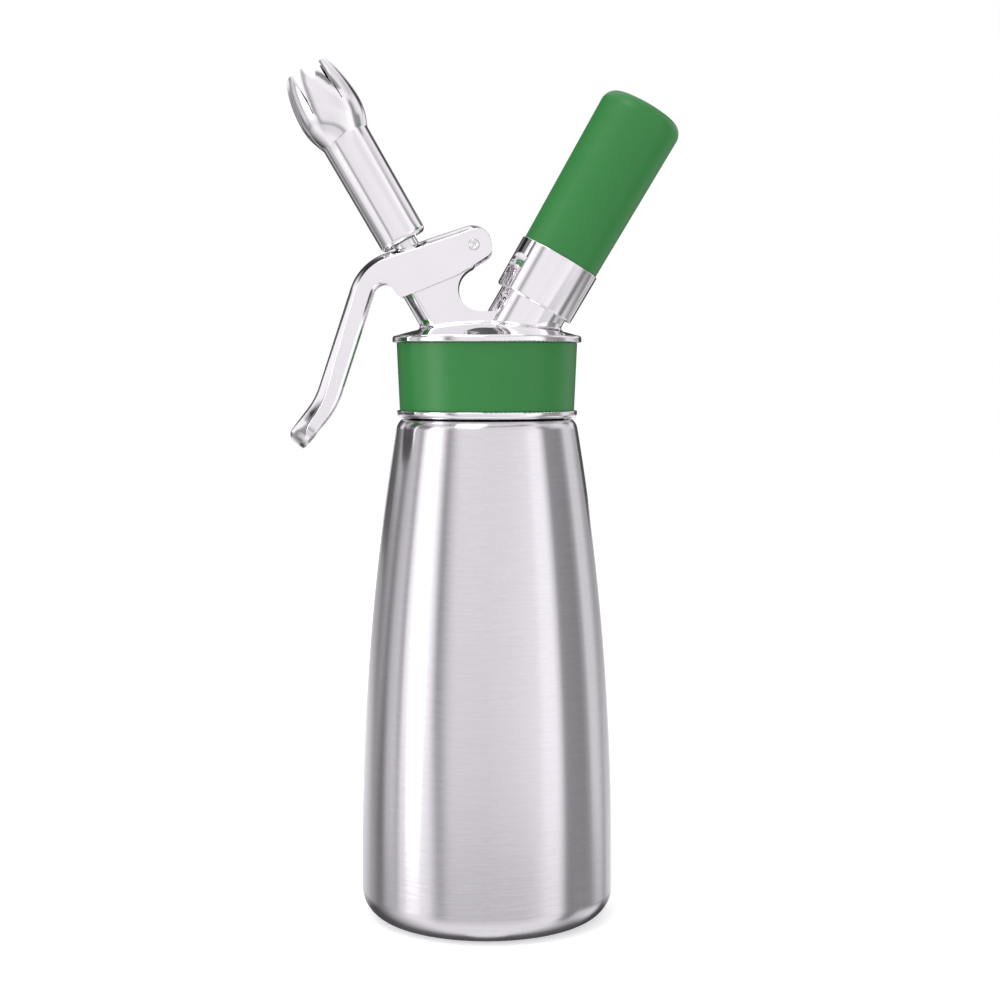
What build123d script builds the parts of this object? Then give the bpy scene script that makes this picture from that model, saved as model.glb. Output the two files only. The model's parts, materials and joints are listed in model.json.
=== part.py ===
from build123d import *
from math import cos, pi, radians, sin, sqrt, tan
import os

# A cream whipper: a pressure bottle, a screwed head with a lever valve, a decorator tip and a
# screwed holder with a gas charger. The origin is the centre of the bottle's base, +Z up.
# Two axes leave the hub point on the bottle's axis, in the XZ plane: the valve's leans to -X
# and the charger's to +X. A place along either of them is its distance from the hub point.
# All lengths are in millimetres and all angles in degrees.

# Clearances
SLIP = 0.05  # running fit, radial
CLEAR = 0.3  # between pieces that move past each other
THREAD_CLEAR = 0.35  # from a thread's crest to the plain bore around it
THREAD_BITE = 0.4  # how deep a thread's root is set in the wall that carries it
EDGE = 0.4  # rounding of rings, seals and lips
THREAD_FLAT = 0.2  # share of a thread's pitch that lies flat at its crest and at its root
THROUGH = 1.0  # how far a cut runs past the faces that it opens

# Bottle
BODY_R = 42.66
BODY_WALL = 1.2
BASE_R = 33.0
BODY_STRAIGHT = 20.0
SHOULDER_R = 30.55
SHOULDER_Z = 169.4
SHOULDER_CORNER = 3.2
SHOULDER_LAND = 2.0
NECK_R = 25.6
NECK_WALL = 1.6
NECK_HEIGHT = 21.6
NECK_RIM_R = 0.7
NECK_CREST = 1.0
NECK_PITCH = 3.0
NECK_TURNS = 4
BASE_GROOVE_R = 25.0
BASE_GROOVE_W = 1.6
BASE_GROOVE_DEPTH = 0.4

# Head gasket
GASKET_T = 2.0
GASKET_INNER_R = 22.5
GASKET_OUTER_R = 26.6

# Head casting
SHOULDER_GAP = 0.5
SKIRT_WALL = 1.45
LOWER_RING_OUT = 2.0
LOWER_RING_H = 2.4
LOWER_RING_LIP = 1.6
BAND_H = 22.8
FLANGE_OUT = 3.4
FLANGE_H = 2.3
FLANGE_EDGE = 1.0
FLANGE_SET = 0.1
DOME_INSET = 1.3
DOME_H = 4.6
HUB_DROP = 12.0
LEAN = 30.0

# Silicone band round the head
BAND_LOW_T = 1.0
BAND_TOP_T = 2.0

# Valve, from the seat face upwards along the valve axis
STEM_R = 4.0
STEM_BORE_R = 2.6
SEAT_AT = 10.7
SEAT_BOSS_R = 8.5
CHAMBER_R = 4.9
CHAMBER_L = 9.5
SEAL_T = 2.7
PLUNGER_R = 7.0
PLUNGER_T = 4.0
PLUNGER_EDGE = 1.2
SPIGOT_R = 2.5
SPIGOT_HEAD_R = 3.4
SPIGOT_HEAD_T = 0.8
PORT_R = 1.5
PORT_ABOVE_SEAT = 3.8
PORT_SUMP = 0.6
O_RING_D = 1.3
BUSH_L = 9.5
BUSH_R = 5.4
SPRING_L = 13.2
SPRING_R = 4.7
SPRING_WIRE_R = 0.4
SPRING_TURNS = 5
COLLAR_R = 7.5
COLLAR_T = 3.0
CIRCLIP_R = 5.0
CIRCLIP_T = 0.9
CIRCLIP_GROOVE = 0.7
CIRCLIP_GAP = 3.0
VALVE_TRAVEL = 3.0
COLLAR_CLEAR = 0.5
SOCKET_R = 9.7

# Web and pivot arm, in the valve's frame: across the valve axis and along it
WEB_HALF = 8.2
WEB_CUT_R = 7.4
WEB_STRIP = 3.4
WEB_BELOW_RIM = 0.6
ARM_DEPTH = 4.7
ARM_START = 8.5
ARM_RISE_RUN = 8.0
ARM_TOP_R = 2.0
ARM_HEEL = 4.0
PIVOT_ACROSS = 19.46
PIVOT_BELOW_COLLAR = 5.14
PIVOT_BOSS_R = 3.6
PIN_R = 1.8
PIN_DIMPLE_R = 1.3
PIN_DIMPLE = 0.35
PIN_PROUD = 0.15
PIN_EDGE = 0.15

# Lever. Its side outline is measured from the pivot; the slopes go down to the left.
LEVER_HALF = 11.5
LEVER_CHEEK = 1.9
LEVER_ROOF = 3.1
LEVER_CROWN = 2.3
RIDGE_R = 7.27
NOSE_R = 5.6
NOSE_WALL = 1.4
EYE_CORNER = 6.3
ROOF_SLOPE = 18.4
ROOF_L = 38.4
BEND_R = 18.5
HANDLE_SLOPE = 71.8
HANDLE_L = 48.0
HANDLE_T = 6.9
KNEE_R = 24.0
SPOON_SLOPE = 52.5
SPOON_L = 16.0
SPOON_T = 6.5
SPOON_R = 3.0
TONGUE_R = 10.0
CHEEK_TOE = (-24.5, -17.1)
CHEEK_TOE_R = 2.2
CHEEK_MIDDLE = (-5.5, -9.4)
CHEEK_MIDDLE_R = 20.0
CHEEK_NOSE = -2.4
CHEEK_NOSE_R = 3.4
FINGER_ARCH_W = 5.9
FINGER_ARCH_H = 5.05
FINGER_ARCH_R = 4.6
HOLLOW_EYE_R = 3.8
HOLLOW_L = 30.0
HOLLOW_END_R = 3.0
LUG_R = 2.5
LUG_PLAY = 0.2
LUG_INNER = 5.4
SLOT_L = 11.1
SLOT_W = 8.8
SLOT_SHIFT = 0.95

# Decorator tip and its thread adaptor
TIP_ABOVE_ROOF = 1.65
TIP_R = 8.17
TIP_NECK_R = 8.45
TIP_BORE_R = 6.2
TIP_EDGE = 1.8
TIP_TUBE = 39.3
TIP_CROWN = 26.1
CROWN_WALL = 1.3
CROWN_FLARE = 0.42
CROWN_SHAPE = ((10.44, 5.6), (10.94, 10.6), (9.9, 19.6))  # radius and height above the tube
CROWN_MOUTH_R = 7.8
CROWN_CLOSE = 0.42
CROWN_HOLLOW = 2.0
TINES = 6
TINE_TURN = 3.3
TINE_SLOT_L = 14.9
TINE_SLOT_ROOT = 0.15
TINE_SLOT_WAIST = (0.8, 8.4)
TINE_SLOT_MOUTH = 2.2
ADAPTOR_L = 9.8
ADAPTOR_DEEP = 0.6
ADAPTOR_LIP = 2.0
ADAPTOR_CREST_R = 6.8
ADAPTOR_CREST = 0.6
ADAPTOR_LEAD = 0.4
ADAPTOR_RIM = 0.3
ADAPTOR_PITCH = 1.8
ADAPTOR_TURNS = 5
ADAPTOR_RING_D = 1.5
WASHER_T = 1.5
WASHER_BORE_R = 3.2

# Charger boss, gas inlet and charger
BOSS_R = 12.1
BOSS_CREST = 0.7
BOSS_FOOT = 5.0
BOSS_TOP = 44.0
BOSS_PITCH = 2.5
BOSS_TURNS = 4
NOSE_AT = 38.3
CHARGER_SEAL_T = 3.1
CHARGER_SEAL_BORE_R = 1.6
PIN_TIP_OVER = 1.7
PIERCER_R = 1.0
PIERCER_BASE_R = 3.6
PIERCER_BASE_T = 2.4
PIERCER_BORE_R = 0.45
PIERCER_TAPER = 1.5
FILTER_R = 3.0
FILTER_T = 1.5
GAS_R = 1.6
GAS_ELBOW_AT = 28.0
CHECK_R = 3.0
CHECK_DEPTH = 4.0
CHECK_FLANGE_R = 4.2
CHECK_FLANGE_T = 1.2
CHECK_NOSE = 4.0
CHECK_LIP_R = 0.9
CHECK_ROOF = 0.5
CHECK_SLIT = 0.4
CHARGER_R = 8.95
CHARGER_L = 65.5
CHARGER_NECK_R = 4.4
CHARGER_NECK_L = 8.4
CHARGER_SHOULDER = 9.5
CHARGER_FLARE = 0.4
CHARGER_WALL = 1.3
CAP_T = 0.8

# Charger holder
HOLDER_AT = 31.3
HOLDER_R = 14.0
HOLDER_TOP_R = 14.2
HOLDER_EDGE = 0.8
HOLDER_RIM = 0.3
COLLAR_L = 17.9
HOLDER_CAVITY_R = 9.4
HOLDER_CAVITY_CORNER = 1.5
HOLDER_LEDGE = 2.0
HOLDER_LEDGE_RISE = 3.0
HOLDER_CORE_R = 11.6
HOLDER_CORE_CORNER = 2.5
HOLDER_END_T = 1.2
GRIP_LOW_R = 13.6
GRIP_TOP_R = 14.45
GRIP_END_T = 1.6
GRIP_CORNER = 5.0
GRIP_FACE_R = 9.95
GRIP_DOME = 1.0
PAD_R = 7.0
PAD_T = 1.0

# Derived places
neck_crest_r = NECK_R + NECK_CREST
rim_z = SHOULDER_Z + NECK_HEIGHT
lid_z = rim_z + GASKET_T
hub_z = lid_z - HUB_DROP
skirt_bore_r = neck_crest_r + THREAD_CLEAR
skirt_r = skirt_bore_r + SKIRT_WALL
flange_r = skirt_r + FLANGE_OUT
dome_r = flange_r - DOME_INSET
skirt_low_z = SHOULDER_Z + SHOULDER_GAP
band_low_z = skirt_low_z + LOWER_RING_H
band_top_z = band_low_z + BAND_H
dome_edge_z = band_top_z + FLANGE_H
dome_top_z = dome_edge_z + DOME_H
strip_z = dome_top_z + WEB_STRIP

o_ring_at = SEAT_AT + CHAMBER_L
bush_at = o_ring_at + O_RING_D
spring_at = bush_at + BUSH_L
collar_at = spring_at + SPRING_L
collar_top = collar_at + COLLAR_T
socket_top = collar_at - VALVE_TRAVEL - COLLAR_CLEAR
arm_low = socket_top - ARM_DEPTH
pivot_at = collar_top - PIVOT_BELOW_COLLAR
lug_at = collar_top + LUG_PLAY + LUG_R

frame_x = cos(radians(LEAN))
frame_z = sin(radians(LEAN))
pivot_x = PIVOT_ACROSS * frame_x - pivot_at * frame_z
pivot_z = hub_z + PIVOT_ACROSS * frame_z + pivot_at * frame_x
roof_lean = radians(LEAN - ROOF_SLOPE)
roof_on_axis = pivot_at + (RIDGE_R + PIVOT_ACROSS * sin(roof_lean)) / cos(roof_lean)
tip_at = roof_on_axis + TIP_ABOVE_ROOF
adaptor_at = tip_at + ADAPTOR_DEEP
adaptor_top = adaptor_at + ADAPTOR_L
stem_top = adaptor_top - ADAPTOR_LIP
tip_thread_r = ADAPTOR_CREST_R + THREAD_CLEAR

charger_end = NOSE_AT + CHARGER_L
collar_joint = HOLDER_AT + COLLAR_L
holder_bore_r = BOSS_R + THREAD_CLEAR
holder_inner_end = charger_end + PAD_T
shell_end = holder_inner_end + HOLDER_END_T
grip_end = shell_end + GRIP_END_T
seal_floor = NOSE_AT - CHARGER_SEAL_T
neck_recess_r = CHARGER_NECK_R + CLEAR
check_x = GAS_ELBOW_AT * frame_z

VALVE = Pos(0, 0, hub_z) * Rot(0, -LEAN, 0)
CHARGE = Pos(0, 0, hub_z) * Rot(0, LEAN, 0)


def outline(*corners):
    """Face in the XZ plane from corners (x, z) or (x, z, fillet radius)."""
    points = [(corner[0], 0, corner[1]) for corner in corners]
    radii = [corner[2] if len(corner) > 2 else 0 for corner in corners]
    return make_face(FilletPolyline(*points, radius=radii, close=True))


def turned(*corners):
    """Solid of revolution about Z from an outline of (radius, height) corners."""
    return revolve(outline(*corners), Axis.Z)


def plate(face, half_width):
    """Solid from a face in the XZ plane, equally thick to both sides of it."""
    return extrude(face, half_width, both=True)


def column(radius, low, high):
    """Cylinder on the Z axis between two heights."""
    return Pos(0, 0, low) * Cylinder(radius, high - low, align=(Align.CENTER, Align.CENTER, Align.MIN))


def torus(ring_r, wire_r, height):
    """Ring of round section about Z."""
    return Pos(0, 0, height) * Torus(ring_r, wire_r)


def ridges(root, crest, low, pitch, turns):
    """Corners of a thread's outline, drawn as rings one pitch apart, from low upwards."""
    flat = THREAD_FLAT * pitch / 2
    corners = []
    for index in range(turns):
        start = low + index * pitch
        middle = start + pitch / 2
        corners += [(root, start + flat), (crest, middle - flat)]
        corners += [(crest, middle + flat), (root, start + pitch - flat)]
    return corners


def cap_arc(radius, edge_z, top_z):
    """Arc of a shallow sphere centred on Z, from its edge up to the axis."""
    height = top_z - edge_z
    sphere = (radius**2 + height**2) / (2 * height)
    middle = top_z - sphere + sqrt(sphere**2 - radius**2 / 4)
    return ThreePointArc((radius, 0, edge_z), (radius / 2, 0, middle), (0, 0, top_z))


def from_valve(across, along):
    """World x and z of a point given in the valve's frame."""
    return across * frame_x - along * frame_z, hub_z + across * frame_z + along * frame_x


# ---- Bottle ----


def bottle_form(inset, neck_r, top_z):
    """The bottle's outer form, or its hollow when inset by the wall."""
    wall_r = BODY_R - inset
    corner = wall_r - BASE_R
    floor = Line((0, 0, inset), (BASE_R, 0, inset))
    heel = TangentArc(floor @ 1, (wall_r, 0, inset + corner), tangent=(1, 0, 0))
    straight = Line(heel @ 1, (wall_r, 0, BODY_STRAIGHT))
    flank_end = (SHOULDER_R - inset, 0, SHOULDER_Z - SHOULDER_CORNER)
    flank = TangentArc(straight @ 1, flank_end, tangent=(0, 0, 1))
    shoulder_end = (SHOULDER_R - SHOULDER_LAND - inset / 2, 0, SHOULDER_Z - inset)
    shoulder = TangentArc(flank @ 1, shoulder_end, tangent=flank % 1)
    neck = Polyline(shoulder @ 1, (neck_r, 0, SHOULDER_Z - inset), (neck_r, 0, top_z))
    rest = Polyline(neck @ 1, (0, 0, top_z), floor @ 0)
    return revolve(make_face([floor, heel, straight, flank, shoulder, neck, rest]), Axis.Z)


def bottle():
    thread_top = rim_z - NECK_PITCH
    thread_low = thread_top - NECK_TURNS * NECK_PITCH
    thread = turned(
        (NECK_R - THREAD_BITE, thread_low),
        *ridges(NECK_R, neck_crest_r, thread_low, NECK_PITCH, NECK_TURNS),
        (NECK_R - THREAD_BITE, thread_top),
    )
    groove = column(BASE_GROOVE_R + BASE_GROOVE_W, -THROUGH, BASE_GROOVE_DEPTH)
    groove -= column(BASE_GROOVE_R, -THROUGH, BASE_GROOVE_DEPTH)
    body = bottle_form(0, NECK_R, rim_z)
    rim_edge = body.edges().group_by(Axis.Z)[-1]
    body = fillet(rim_edge, NECK_RIM_R) + thread
    return body - bottle_form(BODY_WALL, NECK_R - NECK_WALL, rim_z + THROUGH) - groove


# ---- Head ----


def head_gasket():
    return turned(
        (GASKET_INNER_R, rim_z, EDGE),
        (GASKET_OUTER_R, rim_z, EDGE),
        (GASKET_OUTER_R, lid_z, EDGE),
        (GASKET_INNER_R, lid_z, EDGE),
    )


def lid():
    """Dome, flange, skirt and lower ring, solid inside."""
    dome = cap_arc(dome_r, dome_edge_z, dome_top_z)
    rest = FilletPolyline(
        (dome_r, 0, dome_edge_z),
        (flange_r, 0, dome_edge_z - FLANGE_SET),
        (flange_r, 0, band_top_z),
        (skirt_r, 0, band_top_z),
        (skirt_r, 0, band_low_z),
        (skirt_r + LOWER_RING_OUT, 0, band_low_z),
        (skirt_r + LOWER_RING_OUT, 0, skirt_low_z),
        (0, 0, skirt_low_z),
        radius=[FLANGE_EDGE, EDGE, 0, 0, EDGE, LOWER_RING_LIP],
    )
    close = Line(rest @ 1, dome @ 1)
    return revolve(make_face([dome, rest, close]), Axis.Z)


def web():
    """Plate between the valve socket and the charger boss, with the arm up to the pivot."""
    rim = socket_top - WEB_BELOW_RIM
    arm_top = pivot_at + PIVOT_BOSS_R
    charger_x = (strip_z - hub_z) * tan(radians(LEAN))
    face = outline(
        from_valve(0, SEAT_AT),
        from_valve(0, rim),
        from_valve(ARM_START, rim),
        (*from_valve(ARM_START + ARM_RISE_RUN, arm_top), ARM_TOP_R),
        from_valve(PIVOT_ACROSS, arm_top),
        from_valve(PIVOT_ACROSS, pivot_at - PIVOT_BOSS_R),
        from_valve(PIVOT_ACROSS - ARM_HEEL, arm_low),
        (charger_x, strip_z),
        (charger_x, lid_z),
    )
    return plate(face, WEB_HALF)


def web_cut():
    """Waste between the pivot arm and the strip along the dome, a C open to the right."""
    corner = (strip_z - hub_z - arm_low * frame_x) / frame_z
    far = from_valve(3 * PIVOT_ACROSS, arm_low)
    return plate(outline((*from_valve(corner, arm_low), WEB_CUT_R), far, (far[0], strip_z)), 2 * SOCKET_R)


def valve_socket():
    """Round socket with flats that run on into the web's faces."""
    flats = Pos(0, 0, (SEAT_AT + socket_top) / 2) * Box(3 * SOCKET_R, 2 * WEB_HALF, 2 * socket_top)
    return VALVE * (column(SOCKET_R, SEAT_AT, socket_top) & flats)


def charger_boss():
    thread_low = BOSS_TOP - THREAD_BITE - BOSS_TURNS * BOSS_PITCH
    return CHARGE * turned(
        (0, BOSS_FOOT),
        (BOSS_R, BOSS_FOOT),
        (BOSS_R, thread_low - THREAD_BITE),
        *ridges(BOSS_R - BOSS_CREST, BOSS_R, thread_low, BOSS_PITCH, BOSS_TURNS),
        (BOSS_R - BOSS_CREST, BOSS_TOP),
        (0, BOSS_TOP),
    )


def on_pivot(radius, half_length):
    """Cylinder on the pivot's axis, equally long to both sides."""
    return Pos(pivot_x, 0, pivot_z) * Rot(90, 0, 0) * Cylinder(radius, 2 * half_length)


def valve_bores():
    """Chamber over the seat, O-ring groove, and bore for the bush and the spring."""
    bores = column(CHAMBER_R, SEAT_AT - THROUGH, o_ring_at)
    bores += column(STEM_R + O_RING_D, o_ring_at, bush_at)
    return VALVE * (bores + column(BUSH_R, bush_at, socket_top + THROUGH))


def gas_bores():
    """Stepped bore under the charger's neck, and the way down to the check valve."""
    pin_low = seal_floor - PIERCER_BASE_T
    bores = column(neck_recess_r, seal_floor, BOSS_TOP + THROUGH)
    bores += column(PIERCER_BASE_R, pin_low, seal_floor)
    bores += column(FILTER_R, pin_low - FILTER_T, seal_floor)
    bores += column(GAS_R, GAS_ELBOW_AT - GAS_R, seal_floor)
    down = column(GAS_R, lid_z - THROUGH, hub_z + GAS_ELBOW_AT * frame_x)
    down += column(CHECK_R, lid_z - THROUGH, lid_z + CHECK_DEPTH)
    return CHARGE * bores + Pos(check_x, 0, 0) * down


def head_casting():
    body = lid() + valve_socket() + web() - web_cut() + charger_boss()
    body += on_pivot(PIVOT_BOSS_R, LEVER_HALF - LEVER_CHEEK - CLEAR)
    body -= column(skirt_bore_r, skirt_low_z - THROUGH, lid_z)
    body += VALVE * column(SEAT_BOSS_R, SEAT_AT, o_ring_at)
    body -= VALVE * column(SEAT_BOSS_R, 0, SEAT_AT)
    return body - valve_bores() - gas_bores() - on_pivot(PIN_R, 2 * LEVER_HALF)


def head_grip():
    return turned(
        (skirt_r, band_low_z),
        (skirt_r + BAND_LOW_T, band_low_z, EDGE),
        (skirt_r + BAND_TOP_T, band_top_z, EDGE),
        (skirt_r, band_top_z),
    )


def guide_bush():
    return VALVE * turned(
        (STEM_R + SLIP, bush_at),
        (BUSH_R, bush_at),
        (BUSH_R, spring_at),
        (STEM_R + SLIP, spring_at, EDGE),
    )


def stem_o_ring():
    wire_r = (O_RING_D - SLIP) / 2
    return VALVE * torus(STEM_R + SLIP + wire_r, wire_r, o_ring_at + O_RING_D / 2)


def pivot_pin():
    half = LEVER_HALF + PIN_PROUD
    pin = on_pivot(PIN_R, half)
    for side in (-1, 1):
        pin -= Pos(0, side * half, 0) * on_pivot(PIN_DIMPLE_R, PIN_DIMPLE)
    return fillet(pin.edges(), PIN_EDGE)


def piercing_pin():
    base_low = seal_floor - PIERCER_BASE_T
    tip = NOSE_AT + PIN_TIP_OVER
    return CHARGE * turned(
        (PIERCER_BORE_R, base_low),
        (PIERCER_BASE_R, base_low),
        (PIERCER_BASE_R, seal_floor),
        (PIERCER_R, seal_floor),
        (PIERCER_R, tip - PIERCER_TAPER),
        (PIERCER_BORE_R, tip),
    )


def charger_seal():
    return CHARGE * turned(
        (CHARGER_SEAL_BORE_R, seal_floor),
        (CHARGER_NECK_R, seal_floor),
        (CHARGER_NECK_R, NOSE_AT, EDGE),
        (CHARGER_SEAL_BORE_R, NOSE_AT, EDGE),
    )


def gas_filter():
    top = seal_floor - PIERCER_BASE_T
    return CHARGE * column(FILTER_R, top - FILTER_T, top)


def check_valve():
    """Rubber duckbill: a plug in the lid, a flange under it and a slit nose."""
    flange_z = lid_z - CHECK_FLANGE_T
    valve = turned(
        (0, flange_z - CHECK_NOSE),
        (CHECK_LIP_R, flange_z - CHECK_NOSE),
        (CHECK_R, flange_z),
        (CHECK_FLANGE_R, flange_z, EDGE),
        (CHECK_FLANGE_R, lid_z, EDGE),
        (CHECK_R, lid_z),
        (CHECK_R, lid_z + CHECK_DEPTH),
        (0, lid_z + CHECK_DEPTH),
    )
    valve -= column(GAS_R, flange_z - CHECK_ROOF, lid_z + CHECK_DEPTH + THROUGH)
    slit = Box(CHECK_SLIT, 2 * CHECK_R, 2 * CHECK_NOSE)
    return Pos(check_x, 0, 0) * (valve - Pos(0, 0, flange_z - CHECK_NOSE) * slit)


# ---- Valve ----


def valve_stem():
    spigot_low = SEAT_AT - SEAL_T - PLUNGER_T
    stem = turned(
        (0, spigot_low - SPIGOT_HEAD_T),
        (SPIGOT_HEAD_R, spigot_low - SPIGOT_HEAD_T, EDGE),
        (SPIGOT_HEAD_R, spigot_low),
        (SPIGOT_R, spigot_low),
        (SPIGOT_R, SEAT_AT - SEAL_T),
        (STEM_R, SEAT_AT - SEAL_T),
        (STEM_R, collar_top - CIRCLIP_T),
        (STEM_R - CIRCLIP_GROOVE, collar_top - CIRCLIP_T),
        (STEM_R - CIRCLIP_GROOVE, collar_top),
        (STEM_R, collar_top),
        (STEM_R, stem_top, EDGE),
        (0, stem_top),
    )
    port_at = SEAT_AT + PORT_ABOVE_SEAT
    stem -= column(STEM_BORE_R, port_at - PORT_R - PORT_SUMP, stem_top + THROUGH)
    for turn in (0, 90):
        stem -= Pos(0, 0, port_at) * Rot(0, 0, turn) * Rot(90, 0, 0) * Cylinder(PORT_R, 4 * STEM_R)
    return VALVE * stem


def plunger():
    top = SEAT_AT - SEAL_T
    return VALVE * turned(
        (SPIGOT_R, top - PLUNGER_T),
        (PLUNGER_R, top - PLUNGER_T, PLUNGER_EDGE),
        (PLUNGER_R, top),
        (SPIGOT_R, top),
    )


def valve_seal():
    return VALVE * turned(
        (STEM_R, SEAT_AT - SEAL_T),
        (PLUNGER_R, SEAT_AT - SEAL_T, EDGE),
        (PLUNGER_R, SEAT_AT, EDGE),
        (STEM_R, SEAT_AT),
    )


def valve_spring():
    """Compression spring between the guide bush and the press collar."""
    free = SPRING_L - 2 * SPRING_WIRE_R
    path = Helix(free / SPRING_TURNS, free, SPRING_R, center=(0, 0, spring_at + SPRING_WIRE_R))
    section = Plane(path @ 0, z_dir=path % 0) * Circle(SPRING_WIRE_R)
    return VALVE * sweep(section, path)


def press_collar():
    return VALVE * turned(
        (STEM_R, collar_at),
        (COLLAR_R, collar_at, EDGE),
        (COLLAR_R, collar_top, EDGE),
        (CIRCLIP_R, collar_top),
        (CIRCLIP_R, collar_top - CIRCLIP_T),
        (STEM_R, collar_top - CIRCLIP_T),
    )


def circlip():
    ring = column(CIRCLIP_R, collar_top - CIRCLIP_T, collar_top)
    ring -= column(STEM_R - CIRCLIP_GROOVE, collar_top - 2 * CIRCLIP_T, collar_top + THROUGH)
    gap = Pos(CIRCLIP_R, 0, collar_top) * Box(2 * CIRCLIP_R, CIRCLIP_GAP, 4 * CIRCLIP_T)
    return VALVE * (ring - gap)


def tip_adaptor():
    root = ADAPTOR_CREST_R - ADAPTOR_CREST
    ring_at = (adaptor_at + stem_top) / 2
    ring_r = STEM_R + ADAPTOR_RING_D
    body = turned(
        (STEM_R, adaptor_at),
        (root, adaptor_at),
        *ridges(root, ADAPTOR_CREST_R, adaptor_at + ADAPTOR_LEAD, ADAPTOR_PITCH, ADAPTOR_TURNS),
        (root, adaptor_top, ADAPTOR_RIM),
        (STEM_BORE_R, adaptor_top),
        (STEM_BORE_R, stem_top),
        (STEM_R, stem_top),
    )
    half = ADAPTOR_RING_D / 2
    return VALVE * (body - column(ring_r, ring_at - half, ring_at + half))


def adaptor_o_ring():
    wire_r = (ADAPTOR_RING_D - SLIP) / 2
    ring_at = (adaptor_at + stem_top) / 2
    return VALVE * torus(STEM_R + ADAPTOR_RING_D / 2, wire_r, ring_at)


# ---- Lever ----


def run_down(start, slope, length):
    """Point reached from start by a run down to the left at a slope."""
    return start[0] - length * cos(radians(slope)), start[1] - length * sin(radians(slope))


def step_in(start, slope, depth):
    """Point at a depth inside start, square to a run at a slope."""
    return start[0] + depth * sin(radians(slope)), start[1] - depth * cos(radians(slope))


def corner_in(corner, slope_a, slope_b, depth):
    """A corner between two runs, moved in so that both runs lie deeper by depth."""
    turn = cos(radians((slope_a - slope_b) / 2))
    return step_in(corner, (slope_a + slope_b) / 2, depth / turn)


def lever_ridge():
    """Corners of the ridge: foot over the pivot, bend, knee and spoon."""
    foot = (-RIDGE_R * sin(radians(ROOF_SLOPE)), RIDGE_R * cos(radians(ROOF_SLOPE)))
    bend = run_down(foot, ROOF_SLOPE, ROOF_L)
    knee = run_down(bend, HANDLE_SLOPE, HANDLE_L)
    spoon = run_down(knee, SPOON_SLOPE, SPOON_L)
    return foot, bend, knee, spoon


def lever_profile():
    """Full side outline of the lever."""
    bend, knee, spoon = lever_ridge()[1:]
    top = RIDGE_R / cos(radians(ROOF_SLOPE)) + NOSE_R * tan(radians(ROOF_SLOPE))
    lip = step_in(spoon, SPOON_SLOPE, SPOON_T)
    knee_in = corner_in(knee, HANDLE_SLOPE, SPOON_SLOPE, HANDLE_T)
    side = step_in(bend, HANDLE_SLOPE, HANDLE_T)
    arch_top = CHEEK_TOE[1] + FINGER_ARCH_H
    arch_far = side[0] - (side[1] - arch_top) / tan(radians(HANDLE_SLOPE))
    return outline(
        (NOSE_R, top, EYE_CORNER),
        (*bend, BEND_R),
        (*knee, KNEE_R),
        (*spoon, SPOON_R),
        (*lip, EDGE),
        (*knee_in, KNEE_R + HANDLE_T),
        (arch_far, arch_top, FINGER_ARCH_R),
        (arch_far + FINGER_ARCH_W, arch_top, FINGER_ARCH_R),
        (*CHEEK_TOE, CHEEK_TOE_R),
        (*CHEEK_MIDDLE, CHEEK_MIDDLE_R),
        (NOSE_R, CHEEK_NOSE, CHEEK_NOSE_R),
    )


def lever_hollow():
    """Side outline of the hollow under the roof, open to the lower side."""
    slope = radians(ROOF_SLOPE)
    ceiling = (RIDGE_R - LEVER_ROOF) / cos(slope)
    nose = NOSE_R - NOSE_WALL
    low = 2 * CHEEK_TOE[1]
    return outline(
        (nose, ceiling + nose * tan(slope), HOLLOW_EYE_R),
        (-HOLLOW_L, ceiling - HOLLOW_L * tan(slope), HOLLOW_END_R),
        (-HOLLOW_L, low),
        (nose, low),
    )


def lever_crown():
    """Waste above the crowned outer face, a section carried along the ridge."""
    foot, bend, knee, spoon = lever_ridge()
    start = run_down(foot, ROOF_SLOPE, -LEVER_HALF)
    end = run_down(spoon, SPOON_SLOPE, SPOON_L)
    points = [(x, 0, z) for x, z in (start, bend, knee, end)]
    path = FilletPolyline(*points, radius=[BEND_R, KNEE_R])
    edge = LEVER_HALF + 2 * THROUGH
    drop = LEVER_CROWN * (edge / LEVER_HALF) ** 2
    arc = ThreePointArc((-edge, -drop), (0, 0), (edge, -drop))
    rest = Polyline(arc @ 1, (edge, LEVER_CROWN), (-edge, LEVER_CROWN), arc @ 0)
    normal = Vector(sin(radians(ROOF_SLOPE)), 0, -cos(radians(ROOF_SLOPE)))
    plane = Plane(origin=path @ 0, x_dir=(0, 1, 0), z_dir=path % 0)
    if plane.y_dir.dot(normal) > 0:
        plane = Plane(origin=path @ 0, x_dir=(0, -1, 0), z_dir=path % 0)
    return sweep(plane * make_face([arc, rest]), path)


def tongue_corners():
    """Waste outside the lever's rounded end, seen square to the spoon."""
    spoon = lever_ridge()[-1]
    along_x, along_z = run_down((0, 0), SPOON_SLOPE, 1)
    plane = Plane(origin=(spoon[0], 0, spoon[1]), x_dir=(along_x, 0, along_z), z_dir=(along_z, 0, -along_x))
    side = TONGUE_R + THROUGH
    corner = Box(side, side, 4 * SPOON_T, align=(Align.MIN, Align.MIN, Align.CENTER))
    corner -= Cylinder(TONGUE_R, 5 * SPOON_T)
    waste = plane * Pos(-TONGUE_R, LEVER_HALF - TONGUE_R, 0) * corner
    return waste + mirror(waste, Plane.XZ)


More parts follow.
